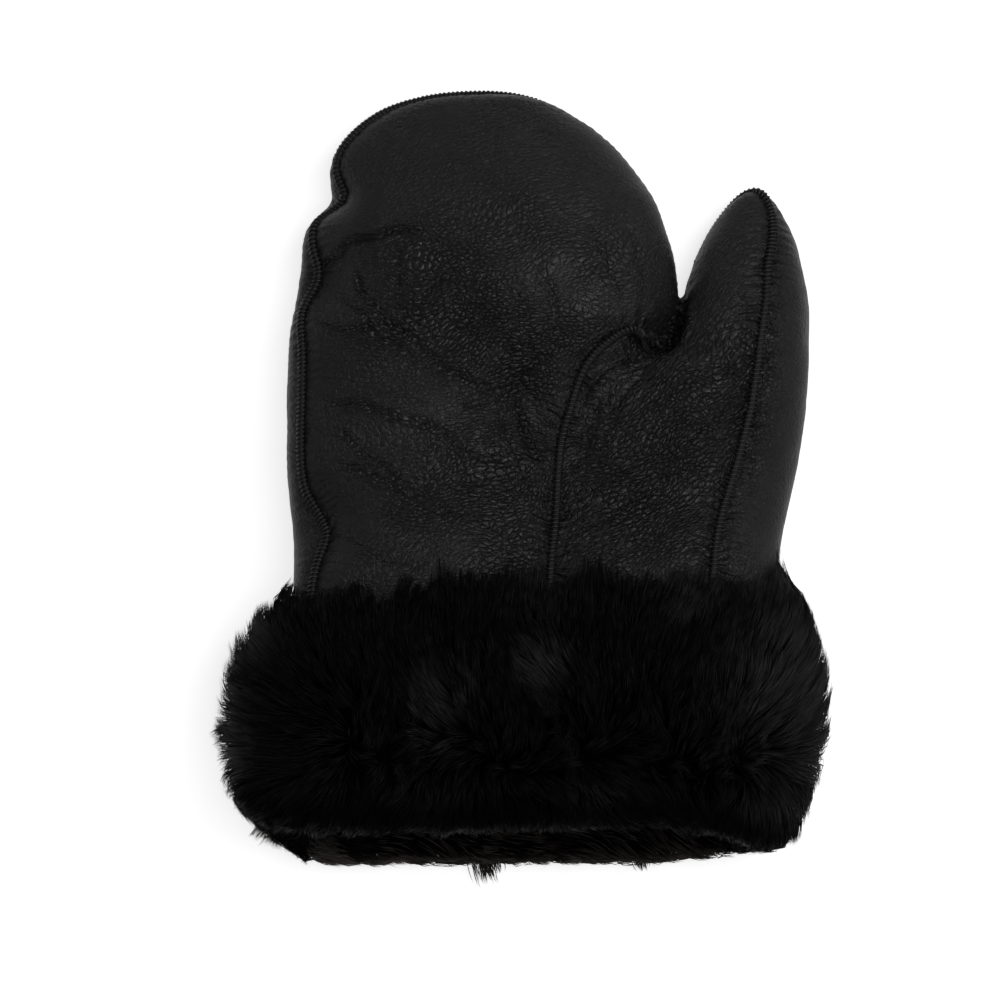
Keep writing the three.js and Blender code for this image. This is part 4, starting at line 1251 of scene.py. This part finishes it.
# Tips lighter low in the hollow, partly the wool's warm colour and partly painted light, and darker
# higher up, towards the front lip
mouth_wool = hairs("wool_at_mouth", centres, HAIR_WIDTH * rng.uniform(0.8, 1.3, count),
                   np.clip(0.85 + 0.3 * noise(wool_roots, 8.0, 77), 0, 1)
                   * (1 - smoothstep(wool_roots[:, 2], FRONT_FROM - 6, FRONT_FROM + 4)))
print("wool at the mouth:", count, "hairs")

# %% [markdown]
# Materials
# Black is never one colour. Sheepskin nappa is dyed through and finished with a thin clear
# coat, so it shows soft grey lights on a brown-black ground. Fur shows light only along its
# hairs. Each finish below starts from what the real one is.

# %% Colour and node helpers


def linear(hex_colour):
    """An sRGB hex colour as the linear values that a shader works with."""
    parts = [int(hex_colour[i:i + 2], 16) / 255 for i in (1, 3, 5)]
    return (*[c / 12.92 if c <= 0.04045 else ((c + 0.055) / 1.055) ** 2.4 for c in parts], 1.0)


def add(material, kind, settings=None, **links):
    """Adds a node, sets its properties and input values, and links its inputs."""
    node = material.node_tree.nodes.new(kind)
    for name, value in (settings or {}).items():
        if hasattr(node, name):
            setattr(node, name, value)
        else:
            node.inputs[name].default_value = value
    for name, source in links.items():
        numbered = name[0] == "i" and name[1:].isdigit()
        socket = node.inputs[int(name[1:]) if numbered else name.replace("_", " ")]
        material.node_tree.links.new(source, socket)
    return node


def new_material(name):
    material = bpy.data.materials.new(name)
    material.use_nodes = True
    material.node_tree.nodes.clear()
    return material


def finish_of(material, settings, **links):
    """The surface shader, linked to the output."""
    shader = add(material, "ShaderNodeBsdfPrincipled", settings, **links)
    add(material, "ShaderNodeOutputMaterial", None, Surface=shader.outputs["BSDF"])
    return shader


# The noise and cell textures count in cells per metre
PER_MM = 1000
print("the blackest black used is", [round(c, 5) for c in linear("#010102")[:3]], "linear")

# %% [markdown]
# Sheepskin nappa
# Nappa is dyed in a drum, so it is black all through, and sprayed with a thin clear finish. The
# grain is made of pebbles with narrow cracks between them. They are long where the skin was
# stretched, and coarse and polished where the hand bends it. A picture could give the grain,
# but a cell pattern keeps its real size on every panel. The finest grain of real nappa, about
# 0.3 mm, wouldn't show, so it is drawn 0.9 mm wide.

# %% Leather
# The relief of one unit of grain, in mm
GRAIN_DEPTH = 0.68
# Creases: distance of the lines in a bundle, and their depth
CREASE_STEP, CREASE_DEPTH = 2.0, 0.9
# Puckers: how far from a seam they end, and their height
PUCKER_END, PUCKER_RELIEF = 14.0, 0.75


def nappa(name, stretch, turn):
    """Black sheepskin nappa, drum-dyed, with a clear finish over a pebbled grain.

    To the eye it is black with soft grey lights, and each raised pebble has its own glint.
    """
    m = new_material(name)
    place = add(m, "ShaderNodeTexCoord").outputs["Object"]
    drift = add(m, "ShaderNodeTexNoise", {"Scale": PER_MM / 30, "Detail": 1.0}, Vector=place)
    drifted = add(m, "ShaderNodeMixRGB", {"blend_type": "LINEAR_LIGHT", "Fac": 0.009},
                  Color1=place, Color2=drift.outputs["Color"]).outputs["Color"]
    warp = add(m, "ShaderNodeTexNoise", {"Scale": PER_MM / 2.6, "Detail": 2.0}, Vector=place)
    warped = add(m, "ShaderNodeMixRGB", {"blend_type": "LINEAR_LIGHT", "Fac": 0.0007},
                 Color1=drifted, Color2=warp.outputs["Color"])
    at = add(m, "ShaderNodeMapping", {"vector_type": "TEXTURE", "Scale": (stretch, 1.0, 1.0),
                                      "Rotation": (0, 0, math.radians(turn))},
             Vector=warped.outputs["Color"]).outputs["Vector"]

    def math_node(operation, a, b=None, value=None):
        node = add(m, "ShaderNodeMath", {"operation": operation}, i0=a)
        if b is not None:
            m.node_tree.links.new(b, node.inputs[1])
        if value is not None:
            node.inputs[1].default_value = value
        return node.outputs[0]

    def ramp(value, low, high, to=1.0):
        return add(m, "ShaderNodeMapRange", {"From Min": low, "From Max": high, "To Max": to,
                                             "interpolation_type": "SMOOTHSTEP"},
                   Value=value).outputs["Result"]

    def pebbles(size, dome, crack):
        """Round pebbles with a narrow crack round each."""
        scale = {"Scale": PER_MM / size}
        domes = add(m, "ShaderNodeTexVoronoi", scale, Vector=at).outputs["Distance"]
        web = add(m, "ShaderNodeTexVoronoi", {"feature": "DISTANCE_TO_EDGE", **scale}, Vector=at)
        return math_node("ADD", ramp(domes, 0.8, 0.05, dome),
                         ramp(web.outputs["Distance"], 0.0, 0.13, crack))

    coarse = add(m, "ShaderNodeAttribute", {"attribute_name": "coarse"}).outputs["Fac"]
    crease = add(m, "ShaderNodeAttribute", {"attribute_name": "crease"}).outputs["Fac"]
    creased = add(m, "ShaderNodeAttribute", {"attribute_name": "creased"}).outputs["Fac"]
    grain = math_node("MULTIPLY", pebbles(1.5, 0.85, 0.7), coarse)
    grain = math_node("ADD", grain, pebbles(0.9, 0.1, 0.1))
    # Each long crease is a bundle of thin, broken lines, which wander with the pebbles
    wander = add(m, "ShaderNodeTexNoise", {"Scale": PER_MM / 3.5, "Detail": 3.0}, Vector=place)
    wander = math_node("MULTIPLY", wander.outputs["Fac"], value=4.5)
    phase = math_node("MULTIPLY", math_node("ADD", crease, wander), value=2 * math.pi / CREASE_STEP)
    breaks = add(m, "ShaderNodeTexNoise", {"Scale": PER_MM / 4.5, "Detail": 1.0}, Vector=at)
    lines = math_node("MULTIPLY", ramp(math_node("COSINE", phase), 0.45, 1.0),
                      ramp(breaks.outputs["Fac"], 0.38, 0.58))
    lines = math_node("MULTIPLY", math_node("MULTIPLY", lines, creased), value=CREASE_DEPTH)
    height = math_node("SUBTRACT", grain, lines)
    # Puckers run across the seams and fade away from them
    along = add(m, "ShaderNodeAttribute", {"attribute_name": "along_seam"}).outputs["Fac"]
    away = add(m, "ShaderNodeAttribute", {"attribute_name": "away_from_seam"}).outputs["Fac"]
    stray = add(m, "ShaderNodeTexNoise", {"Scale": PER_MM / 9, "Detail": 0.0}, Vector=place)
    stray = math_node("MULTIPLY", stray.outputs["Fac"], value=6.0)
    phase = math_node("ADD", along, stray)
    phase = math_node("MULTIPLY", phase, value=2 * math.pi / PUCKER_SPACING)
    puckers = math_node("MULTIPLY", math_node("COSINE", phase), ramp(away, PUCKER_END, 1.5))
    patchy = ramp(breaks.outputs["Fac"], 0.3, 0.65)
    puckers = math_node("MULTIPLY", math_node("MULTIPLY", puckers, patchy), value=PUCKER_RELIEF)
    bump = add(m, "ShaderNodeBump", {"Strength": 1.0, "Distance": GRAIN_DEPTH * MM},
               Height=math_node("ADD", height, puckers))
    worn = add(m, "ShaderNodeTexNoise", {"Scale": PER_MM / 16, "Detail": 5.0}, Vector=place)
    colour = add(m, "ShaderNodeMix", {"data_type": "RGBA"}, i0=worn.outputs["Fac"])
    colour.inputs[6].default_value = linear("#0b0a0a")
    colour.inputs[7].default_value = linear("#141111")
    # Rubbing has polished the raised grain
    gloss = add(m, "ShaderNodeMapRange", {"To Min": 0.52, "To Max": 0.29}, Value=coarse)
    finish_of(m, {"IOR": 1.47}, Base_Color=colour.outputs[2], Roughness=gloss.outputs["Result"],
              Normal=bump.outputs["Normal"])
    return m


# How many times longer than wide the pebbles are, and the way they run, in degrees
palm_nappa = nappa("black_nappa_palm", 1.6, 12)
thumb_nappa = nappa("black_nappa_thumb", 2.0, 34)
back_nappa = nappa("black_nappa_back", 1.2, 0)
print("nappa for palm, thumb and back:", len(palm_nappa.node_tree.nodes), "nodes each")

# %% [markdown]
# Edges, thread, fur and wool
# Cut leather has no clear finish on its edge, so it is matt. The thread is polyester, bonded so
# that it doesn't fray, and a little shiny. Dyed sheepskin hair is a dark tube: it shows light
# along its side, and most of it goes down between the hairs, so the roots lie in shade. That
# shade is painted into the root colour, and the fur's sheen into a lighter tip colour.


# %% Edges, thread, fur and wool
def plain_finish(name, dark, light, size, roughness, bump_height, settings):
    """A finish with two tones and a fine bump, both from one noise of a real size in mm."""
    m = new_material(name)
    place = add(m, "ShaderNodeTexCoord").outputs["Object"]
    spots = add(m, "ShaderNodeTexNoise", {"Scale": PER_MM / size, "Detail": 4.0}, Vector=place)
    colour = add(m, "ShaderNodeMix", {"data_type": "RGBA"}, i0=spots.outputs["Fac"])
    colour.inputs[6].default_value = linear(dark)
    colour.inputs[7].default_value = linear(light)
    bump = add(m, "ShaderNodeBump", {"Distance": bump_height * MM}, Height=spots.outputs["Fac"])
    finish_of(m, {"Roughness": roughness, **settings}, Base_Color=colour.outputs[2],
              Normal=bump.outputs["Normal"])
    return m


# Cut leather edges are matt and take little light
cut_edges = plain_finish("cut_leather_edges", "#060505", "#0c0b0b", 1.2, 0.6, 0.08, {"IOR": 1.4})
# Bonded polyester thread: slightly shiny, so each stitch catches its own light
polyester = plain_finish("bonded_polyester_thread", "#0a0909", "#151313", 0.6, 0.42, 0.03,
                         {"IOR": 1.55})
# Under the locks hardly any light gets out, so the pelt's near-black colour is painted shade
underfur_painted_shade = plain_finish("sheepskin_underfur_painted_shade", "#010102", "#030304", 3.0, 0.95, 0.6,
                        {"Specular IOR Level": 0.05})


def pile(name, root, dark_tip, light_tip, roughness):
    """Dyed sheepskin fur, matt at the root, glossy on some tips: a darker root is painted shade, a
    lighter tip wholly or partly painted light.
    """
    m = new_material(name)
    along = add(m, "ShaderNodeAttribute", {"attribute_name": "along_hair"}).outputs["Fac"]
    tip_tone_and_painted_light = add(m, "ShaderNodeAttribute", {"attribute_name": "tip_tone_and_painted_light"}).outputs["Fac"]
    tip = add(m, "ShaderNodeMix", {"data_type": "RGBA"}, i0=tip_tone_and_painted_light)
    tip.inputs[6].default_value = linear(dark_tip)
    tip.inputs[7].default_value = linear(light_tip)
    colour = add(m, "ShaderNodeMix", {"data_type": "RGBA"}, i0=along, i7=tip.outputs[2])
    colour.inputs[6].default_value = linear(root)
    gloss = add(m, "ShaderNodeMapRange", {"To Min": 0.04, "To Max": 0.35}, Value=tip_tone_and_painted_light)
    shader = finish_of(m, {"IOR": 1.5, "Roughness": roughness}, Base_Color=colour.outputs[2])
    m.node_tree.links.new(gloss.outputs["Result"], shader.inputs["Specular IOR Level"])
    return m


# Deep black, with near-black roots as painted shade and a lighter tip colour as painted sheen in
# the listed patches
black_fur = pile("black_sheepskin_fur", "#010102", "#060607", "#3e3c3c", 0.5)
# The lip has been rubbed, so its hair is a little brown; its lighter, dusty-looking tips are partly
# painted light that brightens the lip in the mouth's shade
worn_fur_with_painted_light = pile("worn_sheepskin_fur_with_painted_light", "#0c0b0a", "#0a0909", "#5f5752", 0.5)
# The wool inside was never combed or finished, so it looks dull and warm; its lighter tips are
# partly painted light that brightens the wool in the mouth's shade
black_wool = pile("black_sheepskin_wool", "#040404", "#060505", "#544c47", 0.6)


def dress(piece, material, slot, *stands_for):
    piece.data.materials.clear()
    piece.data.materials.append(material)
    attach(piece, "root")
    if stands_for:
        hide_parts(*stands_for)


CREASE_REACH, CREASED_GRAIN = 4.5, 0.9
# Where the grain is coarse: x, y, radius in mm, strength
GRAIN_PATCHES = [
    (-19, 193, 24, 1.0), (-36, 183, 16, 0.8), (-3, 180, 22, 0.9), (12, 168, 16, 1.0),
    (0, 128, 24, 0.7), (-20, 118, 20, 0.6), (30, 178, 14, 0.7), (67, 145, 30, 0.95),
    (53, 118, 30, 0.8), (84, 165, 18, 0.7), (10, 215, 26, 0.5), (40, 200, 18, 0.5),
    (8, 105, 20, 0.5),
]


def coarse_grain(piece):
    """Where the grain is coarse: in the middle of the palm and over the thumb's ball."""
    points = points_of(piece)
    value = np.full(len(points), 0.22)
    for x, y, radius, strength in GRAIN_PATCHES:
        away = np.hypot(points[:, 0] - x, points[:, 1] - y)
        value = np.maximum(value, strength * np.exp(-((away / radius) ** 2)))
    value += 0.15 * noise(points, 14.0, 81)
    nearest = np.full(len(points), CREASE_REACH)
    strength = np.zeros(len(points))
    for depth, _, near, fade in folds_near(points):
        closer = np.abs(near) < np.abs(nearest)
        nearest = np.where(closer, near, nearest)
        strength = np.where(closer, depth * fade, strength)
    strength *= 1 - smoothstep(np.abs(nearest), 0.25 * CREASE_REACH, CREASE_REACH)
    value = np.maximum(value, CREASED_GRAIN * strength)
    distances = [nearest_on(line, points) for line, _ in folded.values()]
    closest = np.argmin([d for d, _ in distances], axis=0)
    away, along = (np.array([d[k] for d in distances])[closest, np.arange(len(points))]
                   for k in (0, 1))
    for label, values in (("coarse", np.clip(value, 0, 1.2)), ("crease", nearest),
                          ("creased", strength), ("along_seam", along), ("away_from_seam", away)):
        piece.data.attributes.new(label, "FLOAT", "POINT").data.foreach_set(
            "value", values.astype(np.float32))


for side, material in (("back", back_nappa), ("palm", palm_nappa), ("thumb", thumb_nappa)):
    coarse_grain(panels[side])
    dress(panels[side], material, "leather", f"{side}_panel")
for name in seams:
    dress(seams[name], cut_edges, "seam", name)
    dress(stitches[name], polyester, "seam")
dress(lining, underfur_painted_shade, "wool", "back_wool", "palm_wool", "thumb_wool")
dress(mouth_wool, black_wool, "wool")
dress(pelt, underfur_painted_shade, "fur", "fur_cuff")
for piece in fur:
    dress(piece, worn_fur_with_painted_light if piece.name in ("fur_lip", "fur_stray_tufts") else black_fur, "fur")
counts = {o.name: sum(len(p.vertices) - 2 for p in o.data.polygons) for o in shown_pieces()}
print("triangles:", counts, "in all", sum(counts.values()))

# %% [markdown]
# Light and camera
# The photograph looks straight down from far away. A wide soft light stands at the upper right,
# and white cards all round give the leather its soft grey lights. The mitten lies on a white
# light table, which glows a little itself, so that hardly any shadow is left round it.

# %% Studio
bpy.context.scene.view_settings.view_transform = "Standard"


def plain_plane(name, size, z):
    corners = np.array([(-1, -1), (1, -1), (1, 1), (-1, 1)]) * size / 2
    mesh = bpy.data.meshes.new(name)
    mesh.from_pydata([(*c, z) for c in corners], [], [(0, 1, 2, 3)])
    plane = bpy.data.objects.new(name, mesh)
    bpy.context.scene.collection.objects.link(plane)
    return plane


floor = plain_plane("floor", 6.0, 0.0)
TABLE_GLOW = 0.72
paper = new_material("white_light_table")
sheet = finish_of(paper, {"Base Color": linear("#f4f4f4"), "Roughness": 0.9, "IOR": 1.3,
                  "Emission Color": (1, 1, 1, 1)})
# Light tables have a film that lets the light out nearly straight up
facing = add(paper, "ShaderNodeLayerWeight", {"Blend": 0.5})
glow = add(paper, "ShaderNodeMapRange", {"From Max": 0.6, "To Min": TABLE_GLOW, "To Max": 0.02},
           Value=facing.outputs["Facing"])
paper.node_tree.links.new(glow.outputs["Result"], sheet.inputs["Emission Strength"])
floor.data.materials.append(paper)
floor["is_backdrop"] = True


def soft_light(name, place, size, power, aim=(0, 0, 0.03)):
    lamp = bpy.data.lights.new(name, "AREA")
    lamp.shape, lamp.size, lamp.energy = "SQUARE", size, power
    light = bpy.data.objects.new(name, lamp)
    bpy.context.scene.collection.objects.link(light)
    light.location = place
    way = np.array(aim) - np.array(place)
    light.rotation_mode = "QUATERNION"
    light.rotation_quaternion = Vector(way).to_track_quat("-Z", "Y")


# Each light: name, place and size in metres, power in watts
LIGHTS = [
    ("key_right", (1.05, 0.5, 1.6), 1.1, 9.2),
    ("overhead", (0.3, 0.1, 2.2), 0.9, 8.8),
    ("left_card", (-1.3, 0.5, 1.1), 0.8, 1.1),
    ("low_front", (0.4, -1.5, 0.9), 0.9, 2.0),
]
for light in LIGHTS:
    soft_light(*light)
ROOM_LIGHT = 0.12
world = bpy.data.worlds.new("white_room")
bpy.context.scene.world = world
world.use_nodes = True
world.node_tree.nodes["Background"].inputs["Color"].default_value = (1, 1, 1, 1)
world.node_tree.nodes["Background"].inputs["Strength"].default_value = ROOM_LIGHT

# The picture is 1000 pixels square and shows 0.3444 mm of the mitten per pixel
PICTURE = 1000
PIXEL_MM = 0.3444
LOOK_AT = (-8.4, -6.6, 30.0)
LENS, SENSOR = 180.0, 36.0
NEAR, FAR = 0.1, 20
camera_data = bpy.data.cameras.new("camera")
camera = bpy.data.objects.new("camera", camera_data)
bpy.context.scene.collection.objects.link(camera)
camera_data.lens = LENS
camera_data.sensor_fit = "HORIZONTAL"
camera_data.sensor_width = SENSOR
distance = PICTURE * PIXEL_MM * MM * LENS / SENSOR
camera.location = (LOOK_AT[0] * MM, LOOK_AT[1] * MM, LOOK_AT[2] * MM + distance)
camera_data.clip_start, camera_data.clip_end = NEAR, FAR
bpy.context.scene.camera = camera

visual_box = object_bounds()
for label, (low, high) in {"cad": cad_box, "visual": visual_box}.items():
    print(label, [round(x / MM, 1) for x in low], [round(x / MM, 1) for x in high])
